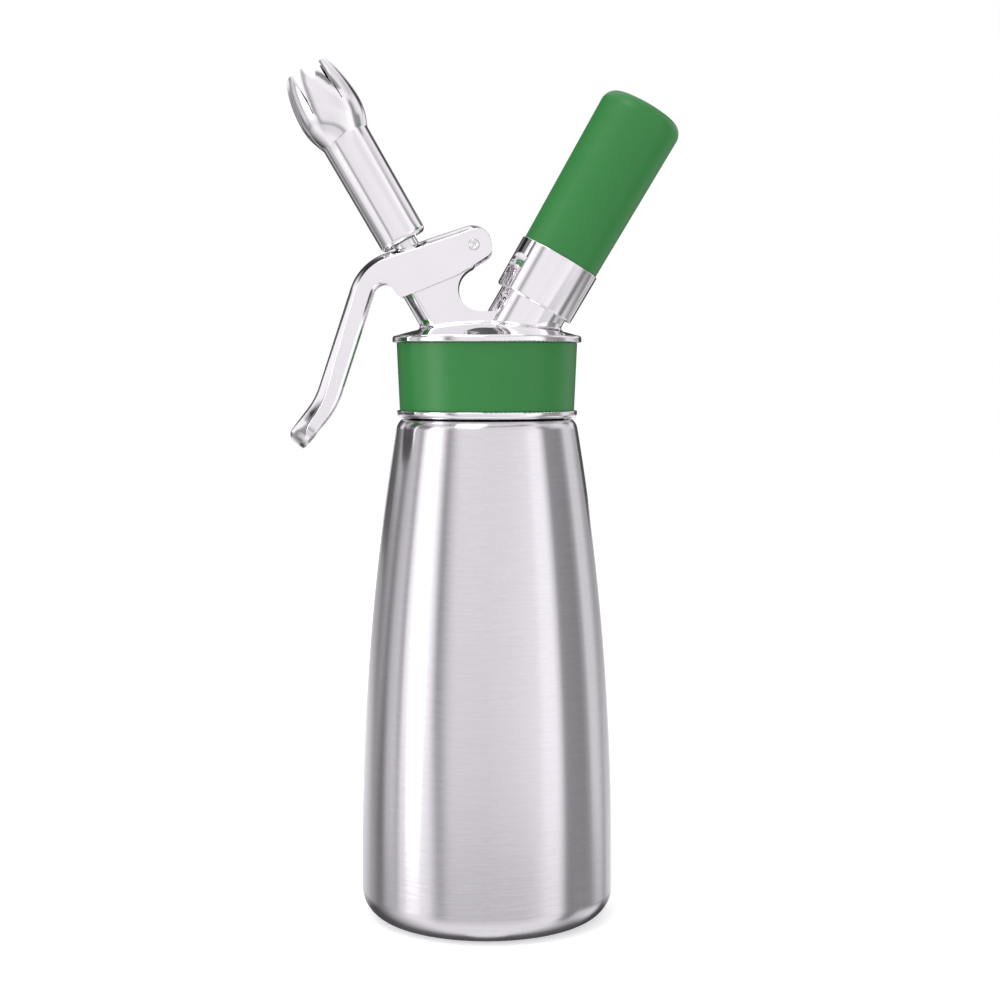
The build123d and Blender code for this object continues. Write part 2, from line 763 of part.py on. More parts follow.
def lever():
    body = plate(lever_profile(), LEVER_HALF) - lever_crown() - tongue_corners()
    body -= plate(lever_hollow(), LEVER_HALF - LEVER_CHEEK)
    lug_x, lug_z = from_valve(0, lug_at)
    lug_len = LEVER_HALF - LUG_INNER - LEVER_CHEEK / 2
    for side in (-1, 1):
        lug_y = side * (LUG_INNER + lug_len / 2)
        body += Pos(lug_x - pivot_x, lug_y, lug_z - pivot_z) * Rot(90, 0, 0) * Cylinder(LUG_R, lug_len)
    body -= Rot(90, 0, 0) * Cylinder(PIN_R + SLIP, 4 * LEVER_HALF)
    slot = Pos(SLOT_SHIFT, 0, roof_on_axis) * extrude(SlotOverall(SLOT_L, SLOT_W), 3 * LEVER_ROOF, both=True)
    return Pos(pivot_x, 0, pivot_z) * body - VALVE * slot


# ---- Decorator tip ----


def tip_form(inset, low, over):
    """Solid inside the tip's outer surface by inset, from the height low to over past the mouth."""
    neck_z = tip_at + TIP_TUBE
    mouth = tip_at + TIP_TUBE + TIP_CROWN + over
    low_r = TIP_NECK_R - (TIP_NECK_R - TIP_R) * (neck_z - low) / TIP_TUBE
    side = Line((low_r - inset, 0, low), (TIP_NECK_R - inset, 0, neck_z))
    crown = Spline(
        side @ 1,
        *[(radius - inset, 0, neck_z + height) for radius, height in CROWN_SHAPE],
        (CROWN_MOUTH_R - inset - CROWN_CLOSE * over, 0, mouth),
        tangents=[(CROWN_FLARE, 0, 1), (-CROWN_CLOSE, 0, 1)],
    )
    rest = Polyline(crown @ 1, (0, 0, mouth), (0, 0, low), side @ 0)
    return revolve(make_face([side, crown, rest]), Axis.Z)


def tine_slot():
    """Face of one slot between two tines, narrow at its root and widening to the mouth."""
    mouth = tip_at + TIP_TUBE + TIP_CROWN
    root = mouth - TINE_SLOT_L
    waist_r, waist = TINE_SLOT_WAIST
    side = Spline((TINE_SLOT_ROOT, 0, root), (waist_r, 0, root + waist), (TINE_SLOT_MOUTH, 0, mouth))
    half = Polyline((0, 0, root), side @ 0) + side
    half += Polyline(side @ 1, (TINE_SLOT_MOUTH, 0, mouth + THROUGH), (0, 0, mouth + THROUGH), (0, 0, root))
    face = make_face(half)
    return face + mirror(face, Plane.YZ)


def decorator_tip():
    shoulder = adaptor_top + WASHER_T
    neck_z = tip_at + TIP_TUBE
    body = tip_form(0, tip_at, 0)
    body = fillet(body.edges().group_by(Axis.Z)[0], TIP_EDGE)
    body -= tip_form(CROWN_WALL, neck_z - CROWN_HOLLOW, THROUGH / 2)
    body -= column(TIP_BORE_R, shoulder, neck_z)
    body -= column(tip_thread_r, tip_at - THROUGH, shoulder)
    for index in range(TINES):
        turn = TINE_TURN + 360 / TINES * (index + 0.5)
        body -= Rot(0, 0, turn) * extrude(tine_slot(), TIP_CROWN, dir=(0, 1, 0))
    return VALVE * body


def tip_washer():
    return VALVE * turned(
        (WASHER_BORE_R, adaptor_top),
        (ADAPTOR_CREST_R, adaptor_top),
        (ADAPTOR_CREST_R, adaptor_top + WASHER_T),
        (WASHER_BORE_R, adaptor_top + WASHER_T),
    )


# ---- Charger and holder ----


def charger_form(inset):
    """The charger's outer form, or its hollow when inset by the wall."""
    nose = NOSE_AT + inset
    neck_r = CHARGER_NECK_R - inset
    neck_top = NOSE_AT + CHARGER_NECK_L
    body_r = CHARGER_R - inset
    wide = neck_top + CHARGER_SHOULDER
    end = charger_end - inset
    neck = Polyline((0, 0, nose), (neck_r, 0, nose), (neck_r, 0, neck_top))
    shoulder = Spline(neck @ 1, (body_r, 0, wide), tangents=[(CHARGER_FLARE, 0, 1), (0, 0, 1)])
    side = Line(shoulder @ 1, (body_r, 0, end - body_r))
    bottom = TangentArc(side @ 1, (0, 0, end), tangent=(0, 0, 1))
    close = Line(bottom @ 1, neck @ 0)
    return revolve(make_face([neck, shoulder, side, bottom, close]), Axis.Z)


def gas_charger():
    hollow = charger_form(CHARGER_WALL)
    mouth = column(CHARGER_NECK_R - CHARGER_WALL, NOSE_AT - THROUGH, NOSE_AT + 2 * CHARGER_WALL)
    return CHARGE * (charger_form(0) - hollow - mouth)


def charger_cap():
    """Pierced steel cap in the charger's mouth."""
    return CHARGE * turned(
        (PIERCER_R + CLEAR, NOSE_AT),
        (CHARGER_NECK_R - CHARGER_WALL, NOSE_AT),
        (CHARGER_NECK_R - CHARGER_WALL, NOSE_AT + CAP_T),
        (PIERCER_R + CLEAR, NOSE_AT + CAP_T),
    )


def holder_core():
    """Closed inner end of the holder, which the grip is moulded over."""
    return turned(
        (0, collar_joint),
        (HOLDER_CORE_R, collar_joint),
        (HOLDER_CORE_R, shell_end, HOLDER_CORE_CORNER),
        (0, shell_end),
    )


def holder_shell():
    ledge = BOSS_TOP + HOLDER_LEDGE
    collar = turned(
        (0, HOLDER_AT),
        (HOLDER_R, HOLDER_AT, HOLDER_EDGE),
        (HOLDER_TOP_R, collar_joint, HOLDER_RIM),
        (0, collar_joint),
    )
    cavity = turned(
        (0, HOLDER_AT - THROUGH),
        (holder_bore_r, HOLDER_AT - THROUGH),
        (holder_bore_r, ledge),
        (HOLDER_CAVITY_R, ledge + HOLDER_LEDGE_RISE),
        (HOLDER_CAVITY_R, holder_inner_end, HOLDER_CAVITY_CORNER),
        (0, holder_inner_end),
    )
    return CHARGE * (collar + holder_core() - cavity)


def grip_form():
    face_z = grip_end - GRIP_DOME
    side = Line((GRIP_LOW_R, 0, collar_joint), (GRIP_TOP_R, 0, face_z - GRIP_CORNER))
    corner = TangentArc(side @ 1, (GRIP_FACE_R, 0, face_z), tangent=side % 1)
    end = cap_arc(GRIP_FACE_R, face_z, grip_end)
    rest = Polyline(end @ 1, (0, 0, collar_joint), side @ 0)
    return revolve(make_face([side, corner, end, rest]), Axis.Z)


def holder_grip():
    return CHARGE * (grip_form() - holder_core())


def holder_pad():
    return CHARGE * column(PAD_R, charger_end, holder_inner_end)


PIECES = [
    bottle,
    head_gasket,
    head_casting,
    head_grip,
    guide_bush,
    stem_o_ring,
    pivot_pin,
    piercing_pin,
    charger_seal,
    gas_filter,
    check_valve,
    lever,
    valve_stem,
    plunger,
    valve_seal,
    valve_spring,
    press_collar,
    circlip,
    tip_adaptor,
    adaptor_o_ring,
    tip_washer,
    decorator_tip,
    gas_charger,
    charger_cap,
    holder_shell,
    holder_grip,
    holder_pad,
]

os.makedirs("parts", exist_ok=True)
for piece in PIECES:
    export_step(piece(), f"parts/{piece.__name__}.step")

lever_ratio = VALVE_TRAVEL / PIVOT_ACROSS
print("lever pivot", round(pivot_x, 3), round(pivot_z, 3), "press angle", round(lever_ratio * 180 / pi, 2))
print("hub height", hub_z, "tip base at", round(tip_at, 2), "roof at", round(roof_on_axis, 2))
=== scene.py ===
import json
from math import atan2, cos, pi, radians, sin, tan

import bmesh
import bpy
import numpy as np
from mathutils import Matrix, Vector

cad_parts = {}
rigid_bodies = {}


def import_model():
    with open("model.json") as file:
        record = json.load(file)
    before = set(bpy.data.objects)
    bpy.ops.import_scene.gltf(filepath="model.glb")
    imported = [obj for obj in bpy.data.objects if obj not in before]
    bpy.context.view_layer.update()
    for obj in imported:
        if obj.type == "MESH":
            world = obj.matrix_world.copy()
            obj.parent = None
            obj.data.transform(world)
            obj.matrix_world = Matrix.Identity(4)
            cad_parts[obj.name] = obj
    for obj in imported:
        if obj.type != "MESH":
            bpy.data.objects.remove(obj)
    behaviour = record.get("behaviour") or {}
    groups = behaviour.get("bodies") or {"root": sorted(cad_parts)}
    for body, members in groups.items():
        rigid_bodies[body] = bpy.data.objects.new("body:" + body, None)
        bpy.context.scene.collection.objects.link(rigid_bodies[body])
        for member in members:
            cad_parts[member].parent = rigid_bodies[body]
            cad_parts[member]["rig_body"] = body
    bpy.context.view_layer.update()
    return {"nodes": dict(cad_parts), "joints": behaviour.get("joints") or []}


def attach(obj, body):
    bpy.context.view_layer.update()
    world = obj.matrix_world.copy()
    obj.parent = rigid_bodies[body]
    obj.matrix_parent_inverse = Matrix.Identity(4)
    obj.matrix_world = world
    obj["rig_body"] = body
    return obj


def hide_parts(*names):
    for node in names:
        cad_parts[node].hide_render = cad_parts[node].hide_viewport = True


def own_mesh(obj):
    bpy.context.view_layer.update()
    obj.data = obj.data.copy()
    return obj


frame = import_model()
nodes = frame["nodes"]
joints = {joint["name"]: joint for joint in frame["joints"]}
mm = 0.001
print("frame loaded with", len(nodes), "nodes")

# the axes of the valve and of the charger holder meet in the hub
hubZ = joints["holder_turn"]["pos_m"][2]
valveAxis = -np.array(joints["valve_travel"]["axis"])
lean = atan2(abs(valveAxis[0]), valveAxis[2])


def leaned(angle):
    # frame of an axis that leaves the hub and leans to +X by the angle
    return Matrix.Translation((0, 0, hubZ)) @ Matrix.Rotation(angle, 4, "Y")


valveFrame = leaned(-lean)
chargeFrame = leaned(lean)
pivotFrame = Matrix.Translation(joints["lever_pivot"]["pos_m"])
acrossLever = Matrix.Rotation(pi / 2, 4, "X")  # lays Z across the lever
upright = Matrix.Identity(4)


def softPath(corners, steps=8):
    # corners are (r, z) or (r, z, radius) in mm; a corner with a radius becomes an arc
    # that touches both its runs
    points = [np.array(corner[:2], float) for corner in corners]
    path = [points[0]]
    for index in range(1, len(corners) - 1):
        radius = corners[index][2] if len(corners[index]) > 2 else 0
        if not radius:
            path.append(points[index])
            continue
        back = points[index - 1] - points[index]
        ahead = points[index + 1] - points[index]
        back /= np.linalg.norm(back)
        ahead /= np.linalg.norm(ahead)
        half = np.arccos(np.clip(back @ ahead, -1, 1)) / 2
        middle = (back + ahead) / np.linalg.norm(back + ahead)
        centre = points[index] + middle * radius / sin(half)
        first = points[index] + back * radius / tan(half) - centre
        last = points[index] + ahead * radius / tan(half) - centre
        start = atan2(first[1], first[0])
        turn = (atan2(last[1], last[0]) - start + pi) % (2 * pi) - pi
        angles = start + turn * np.linspace(0, 1, steps + 1)
        path += list(centre + radius * np.stack([np.cos(angles), np.sin(angles)], 1))
    path.append(points[-1])
    return np.array(path)


def arcPath(first, second, tangent, steps):
    # arc from first to second that leaves first along the tangent
    first, second, tangent = (np.array(value, float) for value in (first, second, tangent))
    chord = second - first
    side = np.array([-tangent[1], tangent[0]]) / np.linalg.norm(tangent)
    radius = (chord @ chord) / (2 * chord @ side)
    centre = first + side * radius
    start = atan2(*(first - centre)[::-1])
    end = atan2(*(second - centre)[::-1])
    turn = (end - start + pi) % (2 * pi) - pi
    angles = start + turn * np.linspace(0, 1, steps + 1)
    return centre + abs(radius) * np.stack([np.cos(angles), np.sin(angles)], 1)


def lengths(path):
    # distances along a path from its start to each of its points
    return np.concatenate([[0], np.cumsum(np.linalg.norm(np.diff(path, axis=0), axis=1))])


def placed(points, place):
    # points in mm carried by a 4x4 place into the object's frame, in metres
    matrix = np.array(place)
    return (np.asarray(points) * mm) @ matrix[:3, :3].T + matrix[:3, 3]


def gridFaces(rows, columns, closed):
    # quads between neighbours of a rows x columns grid, wrapped round when closed
    low = np.arange(rows - 1)[:, None] * columns
    high = low + columns
    column = np.arange(columns if closed else columns - 1)
    after = (column + 1) % columns
    return np.stack([low + column, low + after, high + after, high + column], -1).reshape(-1, 4).tolist()


def linked(name, data):
    piece = bpy.data.objects.new(name, data)
    bpy.context.scene.collection.objects.link(piece)
    return piece


def newObject(name, points, faces):
    mesh = bpy.data.meshes.new(name)
    mesh.from_pydata(points, [], faces)
    return linked(name, mesh)


def tidyMesh(piece, weld=1e-6):
    # doubles merged, then every face turned outwards
    work = bmesh.new()
    work.from_mesh(piece.data)
    bmesh.ops.remove_doubles(work, verts=work.verts, dist=weld)
    bmesh.ops.recalc_face_normals(work, faces=work.faces)
    work.to_mesh(piece.data)
    work.free()


def markEdges(work, angle):
    # smooth faces, with the edges over the angle left sharp
    for face in work.faces:
        face.smooth = True
    for edge in work.edges:
        edge.smooth = not (edge.is_manifold and edge.calc_face_angle(0) > radians(angle))


def weighted(piece):
    # normals led by the large faces
    normals = piece.modifiers.new("normals", "WEIGHTED_NORMAL")
    normals.keep_sharp = True
    normals.weight = 60


def sharpened(piece, angle):
    # the piece with its edges marked and its normals weighted
    work = bmesh.new()
    work.from_mesh(piece.data)
    markEdges(work, angle)
    work.to_mesh(piece.data)
    work.free()
    weighted(piece)


def dress(piece, body, slot, node=None):
    # the slot's material, the body that the piece rides on and the CAD node that it stands for
    piece.data.materials.clear()
    piece.data.materials.append(materials[slot])
    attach(piece, body)
    if node:
        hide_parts(node)


def turnedPiece(name, profile, body, slot, node, place=upright, around=192):
    # profile (r, z) carried round Z: x = r cos a, y = r sin a; an end on the axis becomes one pole
    profile = np.asarray(profile, float)
    radius, z = profile[:, :1], np.repeat(profile[:, 1:], around, 1)
    angles = np.arange(around) * 2 * pi / around
    grid = np.stack([radius * np.cos(angles), radius * np.sin(angles), z], -1)
    piece = newObject(name, placed(grid.reshape(-1, 3), place), gridFaces(len(profile), around, True))
    # U goes from 0 to 1 round the piece, and V is the distance along the profile in mm
    wrap = np.stack(np.meshgrid(np.arange(around + 1) / around, lengths(profile)), -1)
    corners = np.stack([wrap[:-1, :-1], wrap[:-1, 1:], wrap[1:, 1:], wrap[1:, :-1]], 2)
    layer = piece.data.uv_layers.new(name="wrap")
    layer.uv.foreach_set("vector", corners.reshape(-1).astype(np.float32))
    tidyMesh(piece)
    piece.data.shade_smooth()
    dress(piece, body, slot, node)
    weighted(piece)


# finish of the pieces that keep their CAD shape: merging distance in m, flat and sharp edges in degrees
copying = {"weld": 2e-6, "flat": 0.2, "sharp": 40}


def dressedCopy(node, slot, look):
    # a CAD node's own shape with its doubles merged, so that it shades smoothly
    mesh = nodes[node].data.copy()
    mesh.name = node + "_finish"
    piece = linked(mesh.name, mesh)
    work = bmesh.new()
    work.from_mesh(mesh)
    bmesh.ops.remove_doubles(work, verts=work.verts, dist=look["weld"])
    flat = radians(look["flat"])
    bmesh.ops.dissolve_limit(work, angle_limit=flat, verts=work.verts, edges=work.edges, delimit={"NORMAL"})
    markEdges(work, look["sharp"])
    work.to_mesh(mesh)
    work.free()
    dress(piece, nodes[node]["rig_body"], slot, node)
    weighted(piece)


def put(tree, kind, inputs=None, **values):
    # a shader node with its attributes set, and its inputs linked or given a value
    node = tree.nodes.new(kind)
    for key, value in values.items():
        setattr(node, key, value)
    for key, value in (inputs or {}).items():
        if isinstance(value, bpy.types.NodeSocket):
            tree.links.new(value, node.inputs[key])
        else:
            node.inputs[key].default_value = value
    return node


def newGroup(name, inputs, outputs):
    group = bpy.data.node_groups.new(name, "ShaderNodeTree")
    for label, value in inputs.items():
        kind = "NodeSocketVector" if isinstance(value, tuple) else "NodeSocketFloat"
        socket = group.interface.new_socket(label, in_out="INPUT", socket_type=kind)
        if not isinstance(value, tuple):
            socket.default_value = value
    for label in outputs:
        group.interface.new_socket(label, in_out="OUTPUT", socket_type="NodeSocketFloat")
    return group, put(group, "NodeGroupInput"), put(group, "NodeGroupOutput")


def mathNode(tree, operation, first, second, third=0.0):
    return put(tree, "ShaderNodeMath", {0: first, 1: second, 2: third}, operation=operation).outputs[0]


def scaledBy(tree, vector, factor):
    return put(tree, "ShaderNodeVectorMath", {0: vector, 1: factor}, operation="MULTIPLY").outputs[0]


def noise(tree, vector, scale, **more):
    return put(tree, "ShaderNodeTexNoise", {"Vector": vector, "Scale": scale, **more}).outputs["Fac"]


def ranged(tree, value, low, high):
    return put(tree, "ShaderNodeMapRange", {"Value": value, "To Min": low, "To Max": high}).outputs[0]


def grouped(tree, group, inputs):
    return put(tree, "ShaderNodeGroup", inputs, node_tree=group).outputs[0]


def bumped(tree, shader, height, strength, distance):
    bump = put(tree, "ShaderNodeBump", {"Height": height, "Strength": strength, "Distance": distance})
    tree.links.new(bump.outputs[0], shader.inputs["Normal"])


def colourMix(tree, factor, first, second):
    mix = put(tree, "ShaderNodeMix", data_type="RGBA")
    tree.links.new(factor, mix.inputs[0])
    mix.inputs[6].default_value = (*first, 1)
    mix.inputs[7].default_value = (*second, 1)
    return mix.outputs[2]


def newMaterial(name, **sockets):
    material = bpy.data.materials.new(name)
    material.use_nodes = True
    tree = material.node_tree
    shader = tree.nodes["Principled BSDF"]
    for label, value in sockets.items():
        shader.inputs[label.replace("_", " ")].default_value = value
    return material, tree, shader


# two lengths of scratches, and how the place is scaled again for the long ones
scratches = {
    "short": {"Detail": 3.0, "Roughness": 0.65},
    "long": {"Detail": 2.0, "Roughness": 0.5},
    "longBy": (0.22, 0.45, 0.45),
    "shortShare": 0.6,
    "longShare": 0.4,
}

# marks of handling: the cloud, the part of it that counts, and the colour left under a mark
marks = {"cloud": {"Detail": 4.0, "Distortion": 0.6}, "from": 0.35, "to": 0.7, "dull": 0.97}


def makeBrushing(look):
    # fine parallel scratches: noise stretched along U, in two lengths, centred on 0.5
    sockets = {"Vector": (0, 0, 0), "Along": 40.0, "Across": 3000.0}
    group, given, out = newGroup("brushing", sockets, ["Height"])
    lengthwise, crosswise = given.outputs["Along"], given.outputs["Across"]
    stretch = put(group, "ShaderNodeCombineXYZ", {0: lengthwise, 1: crosswise, 2: crosswise}).outputs[0]
    shortPlace = scaledBy(group, given.outputs["Vector"], stretch)
    longPlace = scaledBy(group, shortPlace, look["longBy"])
    short = noise(group, shortPlace, 1.0, **look["short"])
    long = noise(group, longPlace, 1.0, **look["long"])
    part = mathNode(group, "MULTIPLY", short, look["shortShare"])
    total = mathNode(group, "MULTIPLY_ADD", long, look["longShare"], part)
    group.links.new(total, out.inputs["Height"])
    return group


def makeHandling(look):
    # soft blotches that fingers and polishing cloths leave, from 0 to 1
    group, given, out = newGroup("handling", {"Vector": (0, 0, 0), "Size": 60.0}, ["Mask"])
    cloud = noise(group, given.outputs["Vector"], given.outputs["Size"], **look["cloud"])
    limits = {"From Min": look["from"], "From Max": look["to"]}
    mask = put(group, "ShaderNodeMapRange", {"Value": cloud, **limits})
    group.links.new(mask.outputs[0], out.inputs["Mask"])
    return group


brushing = makeBrushing(scratches)
handling = makeHandling(marks)

bottleSteel = {
    "dark": (0.66, 0.64, 0.665),
    "light": (0.86, 0.84, 0.865),
    "along": 90.0,
    "across": 2.6,
    "roughness": (0.13, 0.24),
    "anisotropic": 0.85,
    "rotation": 0.25,
    "bump": 0.1,
    "bumpDepth": 0.0001,
}

# polished metals by slot, with the scale of their marks and the haze that a mark adds
metals = {
    "head_chrome": dict(name="headChrome", colour=(0.93, 0.91, 0.93), rough=0.04, size=50.0, haze=0.03),
    "lever_polish": dict(name="leverSteel", colour=(0.94, 0.92, 0.94), rough=0.09, size=45.0, haze=0.04),
    "tip_polish": dict(name="tipSteel", colour=(0.92, 0.90, 0.92), rough=0.07, size=70.0, haze=0.05),
    "pin_steel": dict(name="pinSteel", colour=(0.88, 0.87, 0.88), rough=0.12, size=120.0, haze=0.08),
    "adaptor_steel": dict(name="adaptorSteel", colour=(0.84, 0.84, 0.85), rough=0.14, size=120.0, haze=0.08),
    "spring_steel": dict(name="springSteel", colour=(0.72, 0.72, 0.74), rough=0.2, size=150.0, haze=0.1),
    "filter_brass": dict(name="brassFilter", colour=(0.72, 0.55, 0.30), rough=0.4, size=200.0, haze=0.2),
    "charger_green": dict(name="chargerGreen", colour=(0.06, 0.42, 0.16), rough=0.2, size=60.0, haze=0.05),
}

# moulded rubbers and plastics by slot, and the grain that they share
moulded = {
    "green_silicone": dict(
        name="greenSilicone", colour=(0.018, 0.182, 0.033), lighter=(0.021, 0.193, 0.038), rough=0.38
    ),
    "seal_rubber": dict(
        name="sealRubber", colour=(0.03, 0.03, 0.032), lighter=(0.045, 0.045, 0.047), rough=0.55
    ),
    "bush_plastic": dict(
        name="bushPlastic", colour=(0.72, 0.72, 0.70), lighter=(0.78, 0.78, 0.76), rough=0.4
    ),
}

grain = {
    "specular": 0.45,
    "mottle": 35.0,
    "scale": 900.0,
    "detail": 3.0,
    "smoother": 0.05,
    "rougher": 0.08,
    "bump": 0.25,
    "bumpDepth": 0.00008,
}


def makeBottleSteel(look):
    # scratches round the bottle that lead its colour, roughness and bump
    material, tree, shader = newMaterial("brushedBottle", Metallic=1.0, Anisotropic=look["anisotropic"])
    uv = put(tree, "ShaderNodeUVMap", uv_map="wrap").outputs[0]
    height = grouped(tree, brushing, {"Vector": uv, "Along": look["along"], "Across": look["across"]})
    tree.links.new(colourMix(tree, height, look["dark"], look["light"]), shader.inputs["Base Color"])
    tree.links.new(ranged(tree, height, *look["roughness"]), shader.inputs["Roughness"])
    bumped(tree, shader, height, look["bump"], look["bumpDepth"])
    tangent = put(tree, "ShaderNodeTangent", direction_type="RADIAL", axis="Z")
    tree.links.new(tangent.outputs[0], shader.inputs["Tangent"])
    shader.inputs["Anisotropic Rotation"].default_value = look["rotation"]
    return material


def polishedMetal(name, colour, rough, size, haze):
    # mirror polish with faint marks of handling
    material, tree, shader = newMaterial(name, Metallic=1.0)
    place = put(tree, "ShaderNodeTexCoord").outputs["Object"]
    mask = grouped(tree, handling, {"Vector": place, "Size": size})
    tree.links.new(ranged(tree, mask, rough, rough + haze), shader.inputs["Roughness"])
    dull = [marks["dull"] * channel for channel in colour]
    tree.links.new(colourMix(tree, mask, colour, dull), shader.inputs["Base Color"])
    return material


def softRubber(name, colour, lighter, rough):
    # faint mottling and a fine matt grain
    material, tree, shader = newMaterial(name, Specular_IOR_Level=grain["specular"])
    place = put(tree, "ShaderNodeTexCoord").outputs["Object"]
    mottle = grouped(tree, handling, {"Vector": place, "Size": grain["mottle"]})
    tree.links.new(colourMix(tree, mottle, colour, lighter), shader.inputs["Base Color"])
    fine = noise(tree, place, grain["scale"], Detail=grain["detail"])
    spread = ranged(tree, fine, rough - grain["smoother"], rough + grain["rougher"])
    tree.links.new(spread, shader.inputs["Roughness"])
    bumped(tree, shader, fine, grain["bump"], grain["bumpDepth"])
    return material


materials = {"brushed_bottle": makeBottleSteel(bottleSteel)}
materials.update({slot: polishedMetal(**look) for slot, look in metals.items()})
materials.update({slot: softRubber(**look) for slot, look in moulded.items()})
print("materials made")

# sizes of every piece are in mm, and angles in degrees
bottle = {
    "bodyR": 42.66,
    "baseR": 33.0,
    "straight": 20.0,
    "shoulderR": 30.55,
    "shoulderZ": 169.4,
    "shoulderCorner": 3.2,
    "land": 2.0,
    "neckR": 25.6,
    "crestR": 26.6,
    "neckTop": 191.0,
    "rimR": 0.7,
    "wall": 1.2,
    "neckWall": 1.6,
    "pitch": 3.0,
    "threadLow": 176.0,
    "threadTop": 188.0,
    "flank": (0.1, 0.4, 0.6, 0.9),  # where a thread's flanks start and end, in pitches
    "threadCorner": 0.25,
    "neckFoot": 0.6,
    "boreFoot": 0.5,
    "steps": {"heel": 14, "side": 48, "shoulder": 10, "corner": 5},
    "around": 256,
}


def bottleWall(look, inset):
    # one side of the bottle's wall from its base to the neck, moved in by the inset
    steps = look["steps"]
    wallR = look["bodyR"] - inset
    corner = wallR - look["baseR"]
    heel = arcPath((look["baseR"], inset), (wallR, inset + corner), (1, 0), steps["heel"])
    flankEnd = (look["shoulderR"] - inset, look["shoulderZ"] - look["shoulderCorner"])
    side = arcPath((wallR, look["straight"]), flankEnd, (0, 1), steps["side"])
    slope = side[-1] - side[-2]
    shoulderEnd = (look["shoulderR"] - look["land"] - inset / 2, look["shoulderZ"] - inset)
    shoulder = arcPath(flankEnd, shoulderEnd, slope, steps["shoulder"])
    return np.concatenate([[(0, inset)], heel, side, shoulder[1:]])


def makeBottle(look):
    # profile: outer wall, neck with its thread, rounded rim, bore and inner wall
    outer = bottleWall(look, 0)
    inner = bottleWall(look, look["wall"])
    boreR = look["neckR"] - look["neckWall"]
    threads = []
    for index in range(round((look["threadTop"] - look["threadLow"]) / look["pitch"])):
        low = look["threadLow"] + index * look["pitch"]
        for part, radius in zip(look["flank"], ("neckR", "crestR", "crestR", "neckR")):
            threads.append((look[radius], low + part * look["pitch"], look["threadCorner"]))
    corners = [
        tuple(outer[-1]),
        (look["neckR"], look["shoulderZ"], look["neckFoot"]),
        *threads,
        (look["neckR"], look["neckTop"], look["rimR"]),
        (boreR, look["neckTop"], look["rimR"]),
        (boreR, look["shoulderZ"] - look["wall"], look["boreFoot"]),
        tuple(inner[-1]),
    ]
    neck = softPath(corners, look["steps"]["corner"])
    profile = np.concatenate([outer, neck[1:-1], inner[::-1]])
    turnedPiece("bottle_brushed", profile, "bottle", "brushed_bottle", "bottle", around=look["around"])


makeBottle(bottle)
print("bottle made")

band = {"lowZ": 172.3, "topZ": 195.1, "lowR": 29.4, "topR": 30.4, "innerR": 28.4, "lip": 0.45, "seam": 2.0}


def makeBand(look):
    # closed profile with its seam on the hidden inner side
    seam = (look["innerR"], look["lowZ"] + look["seam"])
    corners = [
        seam,
        (look["innerR"], look["lowZ"]),
        (look["lowR"], look["lowZ"], look["lip"]),
        (look["topR"], look["topZ"], look["lip"]),
        (look["innerR"], look["topZ"]),
        seam,
    ]
    turnedPiece("head_band", softPath(corners), "head", "green_silicone", "head_grip")


makeBand(band)
print("band made")

lever = {
    "half": 11.5,
    "cheek": 1.9,
    "roof": 3.1,
    "ridgeR": 7.27,
    "nose": 5.6,
    "noseWall": 1.4,
    "noseFrom": 1.5,
    "noseTo": 0.5,
    "eyeCorner": 6.3,
    "roofSlope": 18.4,
    "roofL": 38.4,
    "bendR": 18.5,
    "handleSlope": 71.8,
    "handleL": 48.0,
    "handleT": 6.9,
    "kneeR": 24.0,
    "spoonSlope": 52.5,
    "spoonL": 16.0,
    "spoonT": 6.5,
    "endR": 3.0,
    "tongueR": 10.0,
    "noseLow": (5.6, -2.4, 3.4),
    "middle": (-5.5, -9.4, 20.0),
    "toe": (-24.5, -17.1, 2.2),
    "archTop": -12.05,
    "archW": 5.9,
    "archR": 4.6,
    "hollowL": 30.0,
    "edge": 0.4,
    "rim": 0.5,
    "thin": 3.0,  # the room at which the edge and the rim reach their full radius
    "flatLeast": 0.05,
    "hollowLeast": 0.3,
    # depth of the crown at the side faces, by the distance along the ridge from the nose
    "crown": [
        (0, 0), (3.5, 0.05), (6, 0.5), (9, 1.6), (12, 2.2), (16, 2.4), (40, 2.45), (57, 2.6), (69, 2.8),
        (76, 3.1), (83, 3.3), (90, 3.7), (97, 3.9), (102, 3.95), (105, 4.3), (107, 4.9), (109, 6.0),
        (113, 6.5),
    ],
    # places on the ridge and on the lower edge that face each other, from the pivot
    "pairs": [
        ((5.6, 1.5), (5.6, 0.5)), ((-2.3, 6.9), (1.6, -5.6)), ((-10.0, 4.3), (-8.0, -10.3)),
        ((-19.4, 1.2), (-19.0, -14.9)), ((-23.0, 0.0), (-23.9, -16.7)), ((-26.5, -1.2), (-26.3, -14.3)),
        ((-30.4, -2.5), (-30.0, -12.05)), ((-37.2, -7.0), (-34.6, -15.0)), ((-41.6, -14.0), (-36.6, -20.8)),
        ((-52.4, -47.0), (-47.0, -51.9)), ((-56.2, -54.1), (-51.6, -58.9)),
    ],
    "step": 0.7,
    "steps": {"arc": 40, "end": 28, "crown": 18, "edge": 7},
    "slotL": 11.1,
    "slotW": 8.8,
    "slotShift": 0.95,
    "slotReach": 12.0,
    "roofOnAxis": 53.48,
    "pinR": 1.85,
    "pinReach": 20.0,
    "lugR": 2.5,
    "lugAt": (-20.77, -2.94),
    "lugInner": 5.4,
    "lugOuter": 10.55,
    "sharp": 32,
}


def runDown(start, slope, length):
    # the point at the end of a run down to the left
    return start - length * np.array([cos(radians(slope)), sin(radians(slope))])


def stepIn(start, slope, depth):
    # the point at a depth under a run, square to it
    return start + depth * np.array([sin(radians(slope)), -cos(radians(slope))])


